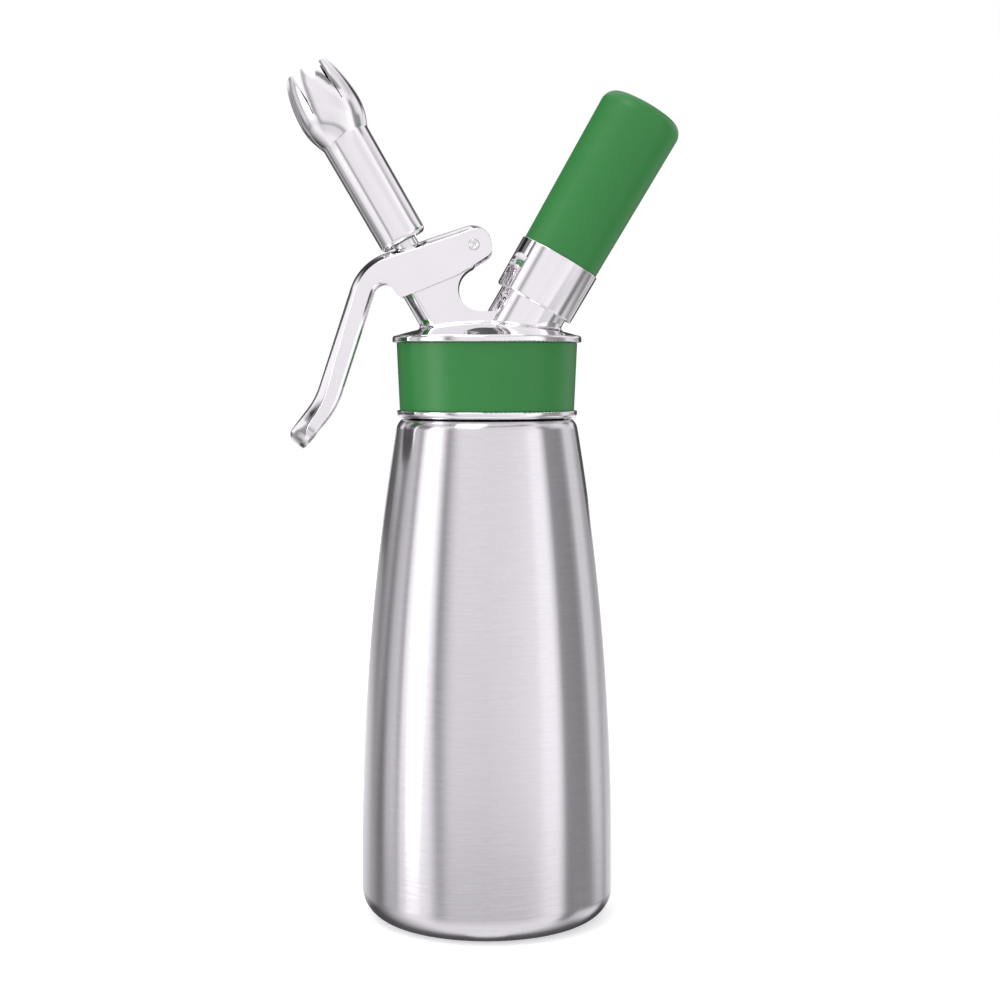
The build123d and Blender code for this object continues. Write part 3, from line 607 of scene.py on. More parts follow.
def leverEdges(look):
    # the ridge line and the lower edge of the side outline, both from the nose to the spoon's end
    slope = radians(look["roofSlope"])
    start = look["ridgeR"] * np.array([-sin(slope), cos(slope)])
    bend = runDown(start, look["roofSlope"], look["roofL"])
    knee = runDown(bend, look["handleSlope"], look["handleL"])
    spoon = runDown(knee, look["spoonSlope"], look["spoonL"])
    top = look["ridgeR"] / cos(slope) + look["nose"] * tan(slope)
    ridge = [
        (look["nose"], look["noseFrom"]),
        (look["nose"], top, look["eyeCorner"]),
        (*bend, look["bendR"]),
        (*knee, look["kneeR"]),
        tuple(spoon),
    ]
    side = stepIn(bend, look["handleSlope"], look["handleT"])
    archX = side[0] - (side[1] - look["archTop"]) / tan(radians(look["handleSlope"]))
    half = (look["handleSlope"] - look["spoonSlope"]) / 2
    kneeIn = stepIn(knee, look["handleSlope"] - half, look["handleT"] / cos(radians(half)))
    lower = [
        (look["nose"], look["noseTo"]),
        look["noseLow"],
        look["middle"],
        look["toe"],
        (archX + look["archW"], look["archTop"], look["archR"]),
        (archX, look["archTop"], look["archR"]),
        (*kneeIn, look["kneeR"] + look["handleT"]),
        tuple(stepIn(spoon, look["spoonSlope"], look["spoonT"])),
    ]
    return softPath(ridge, look["steps"]["arc"]), softPath(lower, look["steps"]["arc"])


def along(path, places):
    # points and left-hand normals of a path at distances along it
    length = lengths(path)
    reach = 0.15
    before, at, after = (
        np.stack([np.interp(places + shift, length, path[:, axis]) for axis in (0, 1)], 1)
        for shift in (-reach, 0, reach)
    )
    run = after - before
    run /= np.linalg.norm(run, axis=1, keepdims=True)
    return at, np.stack([-run[:, 1], run[:, 0]], 1)


def nearest(path, point):
    # distance along a path to the place on it that is nearest to a point
    length = lengths(path)
    fineness = 0.05
    places = np.arange(0, length[-1], fineness)
    x, z = (np.interp(places, length, path[:, axis]) for axis in (0, 1))
    return places[np.hypot(x - point[0], z - point[1]).argmin()]


def leverStations(look, ridge, lower):
    # matching distances along both edges, and the half width there
    ends = lengths(ridge)[-1], lengths(lower)[-1]
    facing = [(nearest(ridge, first), nearest(lower, second)) for first, second in look["pairs"]]
    facing[0] = (0.0, 0.0)
    facing.append((ends[0] - look["tongueR"], ends[1] - look["tongueR"]))
    top, low = [], []
    for (top0, low0), (top1, low1) in zip(facing, facing[1:]):
        share = np.linspace(0, 1, 2 + int(max(top1 - top0, low1 - low0) / look["step"]))[:-1]
        top.append(top0 + (top1 - top0) * share)
        low.append(low0 + (low1 - low0) * share)
    turn = np.linspace(0, pi / 2, look["steps"]["end"])
    sweep = look["tongueR"] * (1 - np.sin(turn))
    half = look["half"] - look["tongueR"] * (1 - np.cos(turn))
    top = np.concatenate([*top, ends[0] - sweep])
    low = np.concatenate([*low, ends[1] - sweep])
    half = np.concatenate([np.full(len(top) - len(turn), look["half"]), half])
    return top, low, half


def hollowTop(look, outer, under):
    # the inner end of each station's line in the hollow: at the nose wall or under the roof
    slope = radians(look["roofSlope"])
    up = np.array([-sin(slope), cos(slope)])
    step = outer - under
    least = 1e-6
    wallX = look["nose"] - look["noseWall"]
    share = (look["ridgeR"] - look["roof"] - under @ up) / (step @ up)
    reach = np.where(step[:, 0] > least, (wallX - under[:, 0]) / np.maximum(step[:, 0], least), 1)
    share = np.minimum(share, reach)
    solid = (under[:, 0] > wallX) | (under[:, 0] < -look["hollowL"])
    return under + np.where(solid, 0, share.clip(0, 1))[:, None] * step


def leverSections(look):
    # each section: crown n = -c s^2 with s = y/w, rounded edge, flat side, rounded rim, then the hollow
    ridge, lower = leverEdges(look)
    top, low, half = leverStations(look, ridge, lower)
    outer, outward = along(ridge, top)
    outward = -outward
    under, inward = along(lower, low)
    room = np.linalg.norm(outer - under, axis=1)
    fall = (top - (lengths(ridge)[-1] - look["endR"])).clip(0, look["endR"])
    fall = look["endR"] - np.sqrt(look["endR"] ** 2 - fall**2)
    small = np.minimum(room / look["thin"], 1)
    edge, rim = look["edge"] * small, look["rim"] * small
    most = (room - fall - edge - rim - look["flatLeast"]).clip(0, None)
    crown = np.minimum(np.interp(top, *zip(*look["crown"])), most)
    tilt = np.arctan(2 * crown / half)
    last = half - edge * (1 - np.sin(tilt))
    share = (last / half)[:, None]
    columns = np.linspace(0, 1, look["steps"]["crown"])[None] * share
    y = [half[:, None] * columns]
    depth = [crown[:, None] * columns**2 + fall[:, None]]
    turn = (pi / 2 - tilt[:, None]) * np.linspace(1, 0, look["steps"]["edge"])[None][:, 1:]
    base = crown[:, None] * share**2 + fall[:, None] + (edge * np.cos(tilt))[:, None]
    y.append((last - edge * np.sin(tilt))[:, None] + edge[:, None] * np.cos(turn))
    depth.append(base - edge[:, None] * np.sin(turn))
    y, depth = np.concatenate(y, 1), np.concatenate(depth, 1)
    flat = outer[:, None] - outward[:, None] * depth[..., None]
    turn = np.linspace(0, pi / 2, look["steps"]["edge"])[None]
    rimY = half[:, None] - rim[:, None] * (1 - np.cos(turn))
    rimAt = under[:, None] + inward[:, None] * (rim[:, None] * (1 - np.sin(turn)))[..., None]
    ceiling = hollowTop(look, outer, under)
    cheek = (half - look["cheek"]).clip(look["hollowLeast"], None)[:, None]
    innerY = np.concatenate([cheek, cheek, cheek * 0.5, cheek * 0], 1)
    innerAt = np.stack([under, ceiling, ceiling, ceiling], 1)
    y = np.concatenate([y, rimY, innerY], 1)
    flat = np.concatenate([flat, rimAt, innerAt], 1)
    return np.stack([flat[..., 0], y, flat[..., 1]], -1)


def stadium(length, width, low, high, steps=24):
    # points and faces of a closed prism along Z, with round ends along X
    turn = np.linspace(-pi / 2, pi / 2, steps)
    right = np.stack([(length - width) / 2 + width / 2 * np.cos(turn), width / 2 * np.sin(turn)], 1)
    ring = np.concatenate([right, -right])
    points = np.concatenate([np.c_[ring, np.full(len(ring), value)] for value in (low, high)])
    caps = [list(range(len(ring)))[::-1], list(range(len(ring), 2 * len(ring)))]
    return points, gridFaces(2, len(ring), True) + caps


def toolSolid(name, points, faces, place):
    # a solid in mm that cuts a piece or joins it
    tool = newObject(name, placed(points, place), faces)
    tidyMesh(tool, 1e-7)
    return tool


def joined(piece, tool, operation):
    # the piece with the tool's solid taken out of it or added to it
    change = piece.modifiers.new("change", "BOOLEAN")
    change.operation = operation
    change.object = tool
    change.solver = "EXACT"
    bpy.context.view_layer.update()
    done = bpy.data.meshes.new_from_object(piece.evaluated_get(bpy.context.evaluated_depsgraph_get()))
    piece.modifiers.clear()
    old = piece.data
    piece.data = done
    done.name = piece.name
    bpy.data.meshes.remove(old)
    bpy.data.objects.remove(tool)


def makeLever(look):
    # sections with their mirror images as closed rings, then the slot, the pin's hole and the two lugs
    sections = leverSections(look)
    ring = np.concatenate([sections, sections[:, -2:0:-1] * (1, -1, 1)], 1)
    rows, around = ring.shape[:2]
    ends = [list(range(around)), list(range((rows - 1) * around, rows * around))[::-1]]
    faces = gridFaces(rows, around, True) + ends
    piece = newObject("lever_body", placed(ring.reshape(-1, 3), pivotFrame), faces)
    dress(piece, "lever", "lever_polish", "lever")
    tidyMesh(piece)
    low, high = look["roofOnAxis"] - look["slotReach"], look["roofOnAxis"] + look["slotReach"]
    slot, sides = stadium(look["slotL"], look["slotW"], low, high)
    joined(piece, toolSolid("slot_cut", slot + (look["slotShift"], 0, 0), sides, valveFrame), "DIFFERENCE")
    hole, sides = stadium(2 * look["pinR"], 2 * look["pinR"], -look["pinReach"], look["pinReach"])
    joined(piece, toolSolid("pin_cut", hole, sides, pivotFrame @ acrossLever), "DIFFERENCE")
    shift = Matrix.Translation(Vector((look["lugAt"][0], 0, look["lugAt"][1])) * mm)
    for low, high in ((look["lugInner"], look["lugOuter"]), (-look["lugOuter"], -look["lugInner"])):
        lug, sides = stadium(2 * look["lugR"], 2 * look["lugR"], low, high)
        joined(piece, toolSolid("lug", lug, sides, pivotFrame @ shift @ acrossLever), "UNION")
    sharpened(piece, look["sharp"])


makeLever(lever)
print("lever made")

pin = {"half": 11.65, "radius": 1.8, "edge": 0.38, "bowlR": 1.12, "bowl": 0.4, "bowlSteps": 14, "around": 64}


def makePin(look):
    # one profile from end to end; each end has a bowl z = end - depth (1 - (r/R)^2) and a rounded rim
    spread = np.linspace(0, 1, look["bowlSteps"])
    bowl = np.stack([look["bowlR"] * spread, look["half"] - look["bowl"] * (1 - spread**2)], 1)
    corners = [bowl[-1], (look["radius"], look["half"], look["edge"]), (look["radius"], 0)]
    end = np.concatenate([bowl[:-1], softPath(corners)])
    profile = np.concatenate([end, (end * (1, -1))[-2::-1]])
    place = pivotFrame @ acrossLever
    turnedPiece("pivot_pin_body", profile, "head", "pin_steel", "pivot_pin", place, look["around"])


makePin(pin)
print("pin made")

# the holder's heights are along its axis, from the hub
holder = {
    "at": 31.3,
    "lowR": 14.0,
    "topR": 14.2,
    "edge": 0.8,
    "rim": 0.3,
    "collarL": 17.9,
    "boreR": 12.45,
    "boreEdge": 0.3,
    "ledge": 46.0,
    "cavityR": 9.4,
    "cavityRise": 3.0,
    "cavityEnd": 104.8,
    "cavityCorner": 1.5,
    "coreR": 11.6,
    "coreCorner": 2.5,
    "wall": 1.2,
}

grip = {
    "lowR": 13.6,
    "lowEdge": 0.35,
    "topR": 14.45,
    "corner": 5.0,
    "faceR": 9.95,
    "dome": 1.0,
    "wall": 1.6,
    "steps": {"dome": 16, "corner": 14, "side": 12},
}


def coreTop(look):
    # height of the shell's closed end
    return look["cavityEnd"] + look["wall"]


def makeHolder(look):
    # one profile from the outer pole down the outside, round the collar's foot and up the cavity
    joint = look["at"] + look["collarL"]
    corners = [
        (0, coreTop(look)),
        (look["coreR"], coreTop(look), look["coreCorner"]),
        (look["coreR"], joint),
        (look["topR"], joint, look["rim"]),
        (look["lowR"], look["at"], look["edge"]),
        (look["boreR"], look["at"], look["boreEdge"]),
        (look["boreR"], look["ledge"]),
        (look["cavityR"], look["ledge"] + look["cavityRise"]),
        (look["cavityR"], look["cavityEnd"], look["cavityCorner"]),
        (0, look["cavityEnd"]),
    ]
    turnedPiece("holder_shell_body", softPath(corners), "holder", "head_chrome", "holder_shell", chargeFrame)


def makeGrip(look, inner):
    # outer pole, shallow dome z = top - (R - sqrt(R^2 - r^2)), tangent corner, tapered side,
    # then back up the outside of the shell's core
    steps = look["steps"]
    joint = inner["at"] + inner["collarL"]
    end = coreTop(inner)
    top = end + look["wall"]
    face = top - look["dome"]
    ball = (look["faceR"] ** 2 + look["dome"] ** 2) / (2 * look["dome"])
    reach = np.linspace(0, look["faceR"], steps["dome"])
    dome = np.stack([reach, top - (ball - np.sqrt(ball**2 - reach**2))], 1)
    low = np.array([look["lowR"], joint])
    high = np.array([look["topR"], face - look["corner"]])
    corner = arcPath(high, (look["faceR"], face), high - low, steps["corner"])[::-1]
    side = np.linspace(high, low, steps["side"])[1:-1]
    foot = softPath([side[-1], (*low, look["lowEdge"]), (inner["coreR"], joint)])[1:]
    core = softPath([(inner["coreR"], joint), (inner["coreR"], end, inner["coreCorner"]), (0, end)])[1:]
    profile = np.concatenate([dome[:-1], corner, side, foot, core])
    turnedPiece("holder_grip_body", profile, "holder", "green_silicone", "holder_grip", chargeFrame)


makeHolder(holder)
makeGrip(grip, holder)
print("charger holder made")

# slots of the nodes that keep their CAD shape
finishes = {
    "head_gasket": "seal_rubber",
    "head_casting": "head_chrome",
    "guide_bush": "bush_plastic",
    "stem_o_ring": "seal_rubber",
    "piercing_pin": "pin_steel",
    "charger_seal": "seal_rubber",
    "gas_filter": "filter_brass",
    "check_valve": "seal_rubber",
    "valve_stem": "pin_steel",
    "plunger": "pin_steel",
    "valve_seal": "seal_rubber",
    "valve_spring": "spring_steel",
    "press_collar": "pin_steel",
    "circlip": "spring_steel",
    "tip_adaptor": "adaptor_steel",
    "adaptor_o_ring": "seal_rubber",
    "tip_washer": "seal_rubber",
    "decorator_tip": "tip_polish",
    "gas_charger": "charger_green",
    "charger_cap": "pin_steel",
    "holder_pad": "seal_rubber",
}

for node, slot in finishes.items():
    dressedCopy(node, slot, copying)

# the spring's copy gets a mesh of its own
coil = bpy.data.objects["valve_spring_finish"]
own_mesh(coil)
print("finishes made")

# rounded foot of the head's web, socket and boss on its dome
foot = {
    "ballR": 1.2,
    "domeR": 30.5,
    "domeH": 4.6,
    "domeTop": 202.0,
    "webHalf": 8.2,
    "socketR": 9.7,
    "bossR": 12.1,
    "bury": 0.4,
    "sharp": 40,
    "steps": {"boss": 60, "turn": 8, "web": 40, "socket": 30, "arc": 13},
}


def settled(look, start, run, out, centre, reach):
    # the ball that touches a wall on its outer side slides down the wall's run until it rests on the dome
    base = start + look["ballR"] * out - centre
    slope = base @ run
    room = slope**2 - (base**2).sum(1) + (reach + look["ballR"]) ** 2
    return centre + base + (np.sqrt(room) - slope)[:, None] * run


def footBalls(look, centre, reach):
    # centres of the rolling ball, and the wall's outward side there, from the boss's far side
    # to the socket's
    steps = look["steps"]
    ball = look["ballR"]
    hub = np.array([0, 0, hubZ / mm])
    front = np.array([0, -1.0, 0])
    bossRun = np.array([sin(lean), 0, cos(lean)])
    socketRun = bossRun * (-1, 1, 1)
    bossSide = np.array([cos(lean), 0, -sin(lean)])
    socketSide = np.array([cos(lean), 0, sin(lean)])

    def ring(side, angles):
        return np.cos(angles)[:, None] * side + np.sin(angles)[:, None] * front

    def between(first, second):
        share = np.linspace(0, 1, steps["turn"])[1:-1, None]
        middle = first * (1 - share) + second * share
        return middle / np.linalg.norm(middle, axis=1, keepdims=True)

    last = pi - np.arcsin((look["webHalf"] + ball) / (look["bossR"] + ball))
    boss = ring(bossSide, np.linspace(0, last, steps["boss"]))
    bossAt = settled(look, hub + look["bossR"] * boss, bossRun, boss, centre, reach)
    corner = between(boss[-1], front)
    cornerAt = np.repeat(bossAt[-1:], len(corner), 0)
    edgeTurn = pi - np.arcsin(look["webHalf"] / look["socketR"])
    socket = ring(socketSide, np.linspace(edgeTurn, pi, steps["socket"]))
    edge = np.concatenate([front[None], between(front, socket[0])])
    edgeAt = settled(look, hub + look["socketR"] * socket[:1], socketRun, edge, centre, reach)
    socketAt = settled(look, hub + look["socketR"] * socket, socketRun, socket, centre, reach)
    x = np.linspace(bossAt[-1, 0], edgeAt[0, 0], steps["web"])[:-1]
    y = np.full(len(x), -(look["webHalf"] + ball))
    webAt = np.stack([x, y, centre[2] + np.sqrt((reach + ball) ** 2 - x**2 - y**2)], 1)
    web = np.repeat(front[None], len(x), 0)
    places = np.concatenate([bossAt, cornerAt, webAt, edgeAt, socketAt])
    return places, np.concatenate([boss, corner, web, edge, socket])


def makeFoot(look):
    # each section: the ball's arc from the wall to the dome, then a corner buried in the casting
    reach = (look["domeR"] ** 2 + look["domeH"] ** 2) / (2 * look["domeH"])
    centre = np.array([0, 0, look["domeTop"] - reach])
    at, out = footBalls(look, centre, reach)
    up = (at - centre) / (reach + look["ballR"])
    opening = np.arccos((out * up).sum(1))[:, None, None]
    share = np.linspace(0, 1, look["steps"]["arc"])[None, :, None]
    toWall = np.sin((1 - share) * opening) * out[:, None] + np.sin(share * opening) * up[:, None]
    arc = at[:, None] - look["ballR"] * toWall / np.sin(opening)
    low = arc[:, -1] - look["bury"] * up
    wall = arc[:, 0] - look["bury"] * out
    inner = wall - (look["ballR"] + look["bury"]) * up
    section = np.concatenate([arc, np.stack([low, inner, wall], 1)], 1)
    rows = np.concatenate([section, (section * (1, -1, 1))[::-1], section[:1]])
    faces = gridFaces(len(rows), rows.shape[1], True)
    piece = newObject("head_foot", placed(rows.reshape(-1, 3), upright), faces)
    dress(piece, "head", "head_chrome")
    tidyMesh(piece, 1e-7)
    sharpened(piece, look["sharp"])


makeFoot(foot)
print("head's foot made")

# the set, in metres and degrees; elevations are the wall's first, end and step
studio = {
    "lens": 68.4,
    "sensor": 36,
    "clipFrom": 0.01,
    "distance": 0.644,
    "pitch": 4.1,
    "aim": (0.0044, 0.0, 0.1419),
    "wallR": 2.0,
    "wallColour": (1.0, 0.98, 1.015),
    "azimuths": 721,
    "elevations": (-80, 62.5, 1.5),
    "flagR": 0.4,
    "flagSteps": 16,
    "sky": 1.0,
}

# stops that two rows below share
frontStops = [
    (-112, 0.28), (-106, 0.5), (-104, 0.62), (-95, 0.72), (-90, 0.5), (-87, 0.5), (-84, 1.1), (-82, 1.24),
    (-57, 1.24), (-53, 0.9), (-50, 0.5), (-47, 0.36), (-44, 0.48), (-41, 0.64), (-36, 0.8), (-31, 0.9),
    (-20, 0.9), (0, 0.91), (23, 0.93), (45, 1.0), (50, 1.04), (55, 1.18), (67, 1.2), (73, 0.8), (77, 0.4),
    (80, 0.34), (100, 0.28), (105, 0.36), (109, 0.5), (113, 0.78),
]

# brightness of the wall round the set, by the angle from the camera's side (positive to the right),
# by its first and last elevation; it blends between two rows
wallRows = {
    (-80, -48): [
        (-180, 0.08), (-130, 0.1), (-95, 0.6), (-70, 0.95), (70, 0.95), (95, 0.6), (130, 0.1), (180, 0.08),
    ],
    (-36, -27): [
        (-180, 0.1), (-152, 0.08), (-132, 0.08), (-120, 0.2), (-108, 0.4), (-97, 0.6), (-87, 0.8),
        (-78, 1.0), (-62, 1.0), (-55, 0.88), (-49, 0.72), (-42, 0.7), (-34, 0.76), (0, 0.8), (30, 0.8),
        (46, 0.9), (57, 1.0), (70, 1.0), (74, 0.7), (78, 0.3), (86, 0.2), (91, 0.4), (95, 0.7), (120, 0.9),
        (130, 0.8), (136, 0.2), (146, 0.04), (160, 0.06), (180, 0.1),
    ],
    (-23.5, -22): [
        (-180, 0.5), (-150, 0.35), (-130, 0.3), (-115, 0.25), (-100, 0.32), (-92, 0.45), (-85, 0.65),
        (-78, 0.88), (-62, 0.9), (-55, 0.8), (-48, 0.6), (-43, 0.4), (-38, 0.42), (30, 0.42), (46, 0.5),
        (57, 0.76), (68, 0.76), (74, 0.48), (80, 0.28), (100, 0.22), (112, 0.22), (122, 0.34), (135, 0.3),
        (150, 0.35), (180, 0.5),
    ],
    (-19.5, -17.5): [
        (-180, 0.8), (-160, 0.75), (-150, 0.75), (-140, 0.65), (-133, 0.52), (-126, 0.42), (-119, 0.26),
        (-112, 0.2), (-107, 0.36), (-104, 0.5), (-97, 0.62), (-91, 0.56), (-88, 0.56), (-85, 0.88),
        (-78, 0.94), (-57, 1.0), (-52, 0.86), (-47, 0.6), (-43, 0.42), (-40, 0.42), (-36, 0.56),
        (-31, 0.66), (0, 0.63), (23, 0.61), (38, 0.62), (48, 0.78), (56, 0.94), (66, 0.98), (70, 0.85),
        (73, 0.62), (76, 0.36), (80, 0.28), (100, 0.26), (109, 0.28), (115, 0.42), (121, 0.64), (128, 0.68),
        (133, 0.5), (138, 0.5), (144, 0.75), (154, 0.8), (165, 1.0), (180, 0.9),
    ],
    (-14.5, -11.5): [
        (-180, 1.05), (-165, 1.0), (-159, 0.93), (-154, 0.88), (-150, 0.82), (-144, 0.78), (-138, 0.65),
        (-133, 0.5), (-127, 0.38), (-121, 0.3), (-117, 0.22), (-112, 0.18), (-107, 0.44), (-104, 0.66),
        (-95, 0.78), (-91, 0.58), (-88, 0.58), (-85, 0.96), (-75, 1.02), (-57, 1.14), (-53, 1.05),
        (-50, 0.94), (-47, 0.64), (-44, 0.4), (-41, 0.48), (-38, 0.66), (-35, 0.8), (-31, 0.86), (0, 0.83),
        (23, 0.93), (48, 1.04), (55, 1.2), (67, 1.22), (70, 1.05), (73, 0.85), (76, 0.42), (80, 0.34),
        (100, 0.3), (105, 0.38), (109, 0.5), (113, 0.8), (121, 0.82), (127, 0.7), (133, 0.5), (137, 0.5),
        (144, 0.65), (154, 0.66), (159, 0.75), (165, 1.1), (180, 1.1),
    ],
    (-7, 1): [
        (-180, 0.9), (-170, 0.75), (-160, 0.52), (-150, 0.46), (-141, 0.42), (-136, 0.3), (-131, 0.26),
        (-121, 0.42), (-113, 0.26), (-107, 0.5), (-104, 0.64), (-95, 0.74), (-91, 0.5), (-88, 0.5),
        (-85, 1.15), (-82, 1.25), (-57, 1.25), (-53, 0.92), (-50, 0.48), (-47, 0.32), (-44, 0.46),
        (-41, 0.62), (-36, 0.8), (-31, 0.88), (0, 0.87), (23, 0.92), (48, 1.02), (55, 1.18), (67, 1.2),
        (70, 1.02), (73, 0.82), (76, 0.42), (80, 0.34), (100, 0.28), (105, 0.36), (109, 0.5), (113, 0.78),
        (127, 0.76), (133, 0.55), (140, 0.4), (150, 0.44), (160, 0.5), (165, 1.1), (180, 1.1),
    ],
    (3, 5): [
        (-180, 0.05), (-158, 0.03), (-153, 0.3), (-141, 0.42), (-132, 0.3), (-121, 0.42), *frontStops,
        (127, 0.76), (133, 0.5), (140, 0.4), (150, 0.44), (160, 0.3), (165, 0.1), (180, 0.05),
    ],
    (8, 17): [
        (-180, 0.5), (-172, 0.3), (-166, 0.05), (-158, 0.03), (-153, 0.3), (-148, 1.0), (-122, 1.0),
        (-117, 0.4), *frontStops, (127, 0.8), (133, 0.8), (150, 1.0), (156, 0.7), (160, 0.2), (170, 0.15),
        (180, 0.5),
    ],
    (24, 36): [
        (-180, 0.1), (-176.5, 0.15), (-174.5, 1.05), (-169, 1.0), (-164, 0.1), (-157, 0.04), (-139, 0.02),
        (-127, 0.02), (-121, 0.15), (-116, 0.3), (-112, 0.2), (-108, 0.17), (-100, 0.24), (-93, 0.23),
        (-85, 0.15), (-82, 0.3), (-79, 0.8), (-75, 1.12), (-61, 1.1), (-55, 0.82), (-50, 0.46), (-45, 0.54),
        (-39, 0.88), (-33, 0.95), (-20, 0.92), (0, 0.9), (32, 0.84), (46, 0.9), (53, 0.97), (60, 1.05),
        (68, 1.08), (74, 0.8), (80, 0.3), (86, 0.3), (93, 0.55), (103, 0.8), (114, 0.95), (129, 0.9),
        (138, 0.3), (146, 0.04), (160, 0.04), (168, 0.9), (174.5, 1.05), (176.5, 0.15), (180, 0.1),
    ],
    (42, 48): [
        (-180, 1.0), (-160, 1.1), (-150, 0.9), (-120, 0.5), (-80, 1.0), (80, 1.0), (120, 0.6), (150, 0.9),
        (165, 1.1), (180, 1.0),
    ],
    (51, 59): [
        (-180, 0.9), (-120, 0.8), (-90, 0.9), (-75, 0.25), (75, 0.25), (90, 0.9), (120, 0.8), (180, 0.9),
    ],
    (61, 62): [
        (-180, 1.0), (180, 1.0),
    ],
}

# dark cards behind the set, by angle as above and by height in metres
flags = {
    "flag_left_low": {"turn": (-155, -130), "heights": (0.11, 0.205), "glow": 0.12},
    "flag_left_middle": {"turn": (-155, -142), "heights": (0.205, 0.28), "glow": 0.1},
    "flag_left_high": {"turn": (-174, -155), "heights": (0.165, 0.34), "glow": 0.05},
    "flag_left_back": {"turn": (-180, -174), "heights": (0.195, 0.245), "glow": 0.05},
    "flag_right_back": {"turn": (174, 180), "heights": (0.195, 0.245), "glow": 0.05},
    "flag_right_high": {"turn": (160, 174), "heights": (0.12, 0.3), "glow": 0.05},
    "flag_right_low": {"turn": (145, 160), "heights": (0.12, 0.24), "glow": 0.08},
}

paleFloor = {"half": 1.6, "colour": 0.93, "glow": 0.3}

lamps = {
    "top_lamp": {"place": (-0.3, -0.5, 1.1), "aim": (0, 0, 0.15), "size": (0.5, 0.5), "energy": 2.4},
    "side_lamp": {"place": (-1.1, -0.42, 0.3), "aim": (0, 0, 0.2), "size": (0.3, 0.9), "energy": 2.6},
}


def emptyMaterial(piece, name):
    # the shader tree, without nodes, of a material given to the piece
    material = bpy.data.materials.new(name)
    material.use_nodes = True
    material.node_tree.nodes.clear()
    piece.data.materials.append(material)
    return material.node_tree


def onlyReflected(piece):
    # polished metal mirrors the piece, but nothing else is lit by it, shaded by it or shows it
    piece.visible_camera = False
    piece.visible_diffuse = False
    piece.visible_shadow = False


def roundSet(radius, turn, height):
    # points on an upright cylinder round the set: x = R sin a, y = -R cos a
    return np.stack([radius * np.sin(turn), -radius * np.cos(turn), height], -1).reshape(-1, 3)


def wallGlow(rows, azimuths, elevations):
    # rows of stops, each interpolated over azimuth, then blended over elevation
    stack = np.array([np.interp(azimuths, *zip(*stops)) for stops in rows.values()])
    share = np.interp(elevations, np.ravel(list(rows)), np.repeat(np.arange(len(rows)), 2))
    low = np.floor(share).astype(int).clip(0, len(rows) - 2)
    part = (share - low)[:, None]
    return stack[low] * (1 - part) + stack[low + 1] * part


def makeWall(look, rows):
    # cylinder with z = R tan e above the aim, lit by its own brightness
    azimuths = np.linspace(-180, 180, look["azimuths"])
    elevations = np.arange(*look["elevations"])
    turn, rise = np.meshgrid(np.radians(azimuths), np.radians(elevations))
    points = roundSet(look["wallR"], turn, look["aim"][2] + look["wallR"] * np.tan(rise))
    wall = newObject("studio_wall", points, gridFaces(len(elevations), len(azimuths), False))
    layer = wall.data.attributes.new("glow", "FLOAT", "POINT")
    layer.data.foreach_set("value", wallGlow(rows, azimuths, elevations).reshape(-1).astype(np.float32))
    tree = emptyMaterial(wall, "studioWall")
    glow = put(tree, "ShaderNodeAttribute", attribute_name="glow").outputs["Fac"]
    light = put(tree, "ShaderNodeEmission", {"Color": (*look["wallColour"], 1), "Strength": glow})
    put(tree, "ShaderNodeOutputMaterial", {0: light.outputs[0]})
    onlyReflected(wall)


def makeFlag(name, look, radius, steps):
    # dark card, part of a cylinder
    turn, height = np.meshgrid(np.radians(np.linspace(*look["turn"], steps)), look["heights"])
    flag = newObject(name, roundSet(radius, turn, height), gridFaces(2, steps, False))
    tree = emptyMaterial(flag, name)
    light = put(tree, "ShaderNodeEmission", {"Color": (1, 1, 1, 1), "Strength": look["glow"]})
    put(tree, "ShaderNodeOutputMaterial", {0: light.outputs[0]})
    onlyReflected(flag)


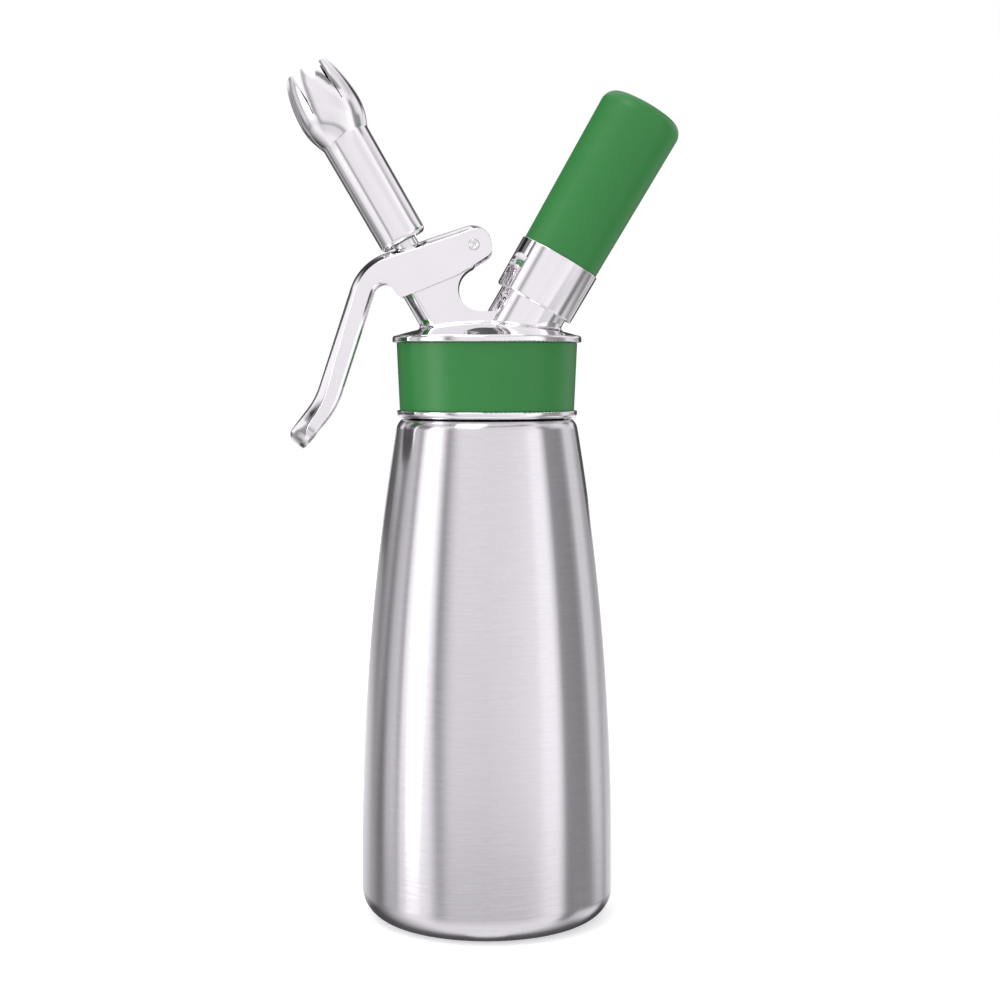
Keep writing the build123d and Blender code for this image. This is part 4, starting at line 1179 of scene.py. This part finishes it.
def makeFloor(look):
    # pale floor that looks white to the camera and keeps the object's shadow
    half = look["half"]
    corners = [(-half, -half, 0), (half, -half, 0), (half, half, 0), (-half, half, 0)]
    floor = newObject("floor", corners, [(0, 1, 2, 3)])
    tree = emptyMaterial(floor, "paleFloor")
    diffuse = put(tree, "ShaderNodeBsdfDiffuse", {"Color": (look["colour"],) * 3 + (1,)})
    path = put(tree, "ShaderNodeLightPath")
    seen = mathNode(tree, "MAXIMUM", path.outputs["Is Camera Ray"], path.outputs["Is Glossy Ray"])
    strength = mathNode(tree, "MULTIPLY", seen, look["glow"])
    light = put(tree, "ShaderNodeEmission", {"Color": (1, 1, 1, 1), "Strength": strength})
    both = put(tree, "ShaderNodeAddShader", {0: diffuse.outputs[0], 1: light.outputs[0]})
    put(tree, "ShaderNodeOutputMaterial", {0: both.outputs[0]})
    floor.visible_glossy = False


def makeWorld(look):
    world = bpy.data.worlds.new("studio")
    bpy.context.scene.world = world
    world.use_nodes = True
    background = world.node_tree.nodes["Background"]
    background.inputs["Color"].default_value = (1, 1, 1, 1)
    background.inputs["Strength"].default_value = look["sky"]


def makeCamera(look):
    # looks down at the aim by the pitch, from the distance
    camera = bpy.data.cameras.new("camera")
    camera.lens = look["lens"]
    camera.sensor_width = look["sensor"]
    camera.clip_start = look["clipFrom"]
    piece = linked("camera", camera)
    down = radians(look["pitch"])
    piece.location = Vector(look["aim"]) + Vector((0, -cos(down), sin(down))) * look["distance"]
    piece.rotation_euler = (pi / 2 - down, 0, 0)
    bpy.context.scene.camera = piece


def makeLamp(name, look):
    lamp = bpy.data.lights.new(name, "AREA")
    lamp.shape = "RECTANGLE"
    lamp.size, lamp.size_y = look["size"]
    lamp.energy = look["energy"]
    piece = linked(name, lamp)
    piece.location = look["place"]
    toAim = Vector(look["aim"]) - Vector(look["place"])
    piece.rotation_euler = toAim.to_track_quat("-Z", "Y").to_euler()
    piece.visible_camera = False


makeWall(studio, wallRows)
for name, look in flags.items():
    makeFlag(name, look, studio["flagR"], studio["flagSteps"])
makeFloor(paleFloor)
makeWorld(studio)
makeCamera(studio)
for name, look in lamps.items():
    makeLamp(name, look)
bpy.context.scene.view_settings.view_transform = "Standard"
print("studio made")
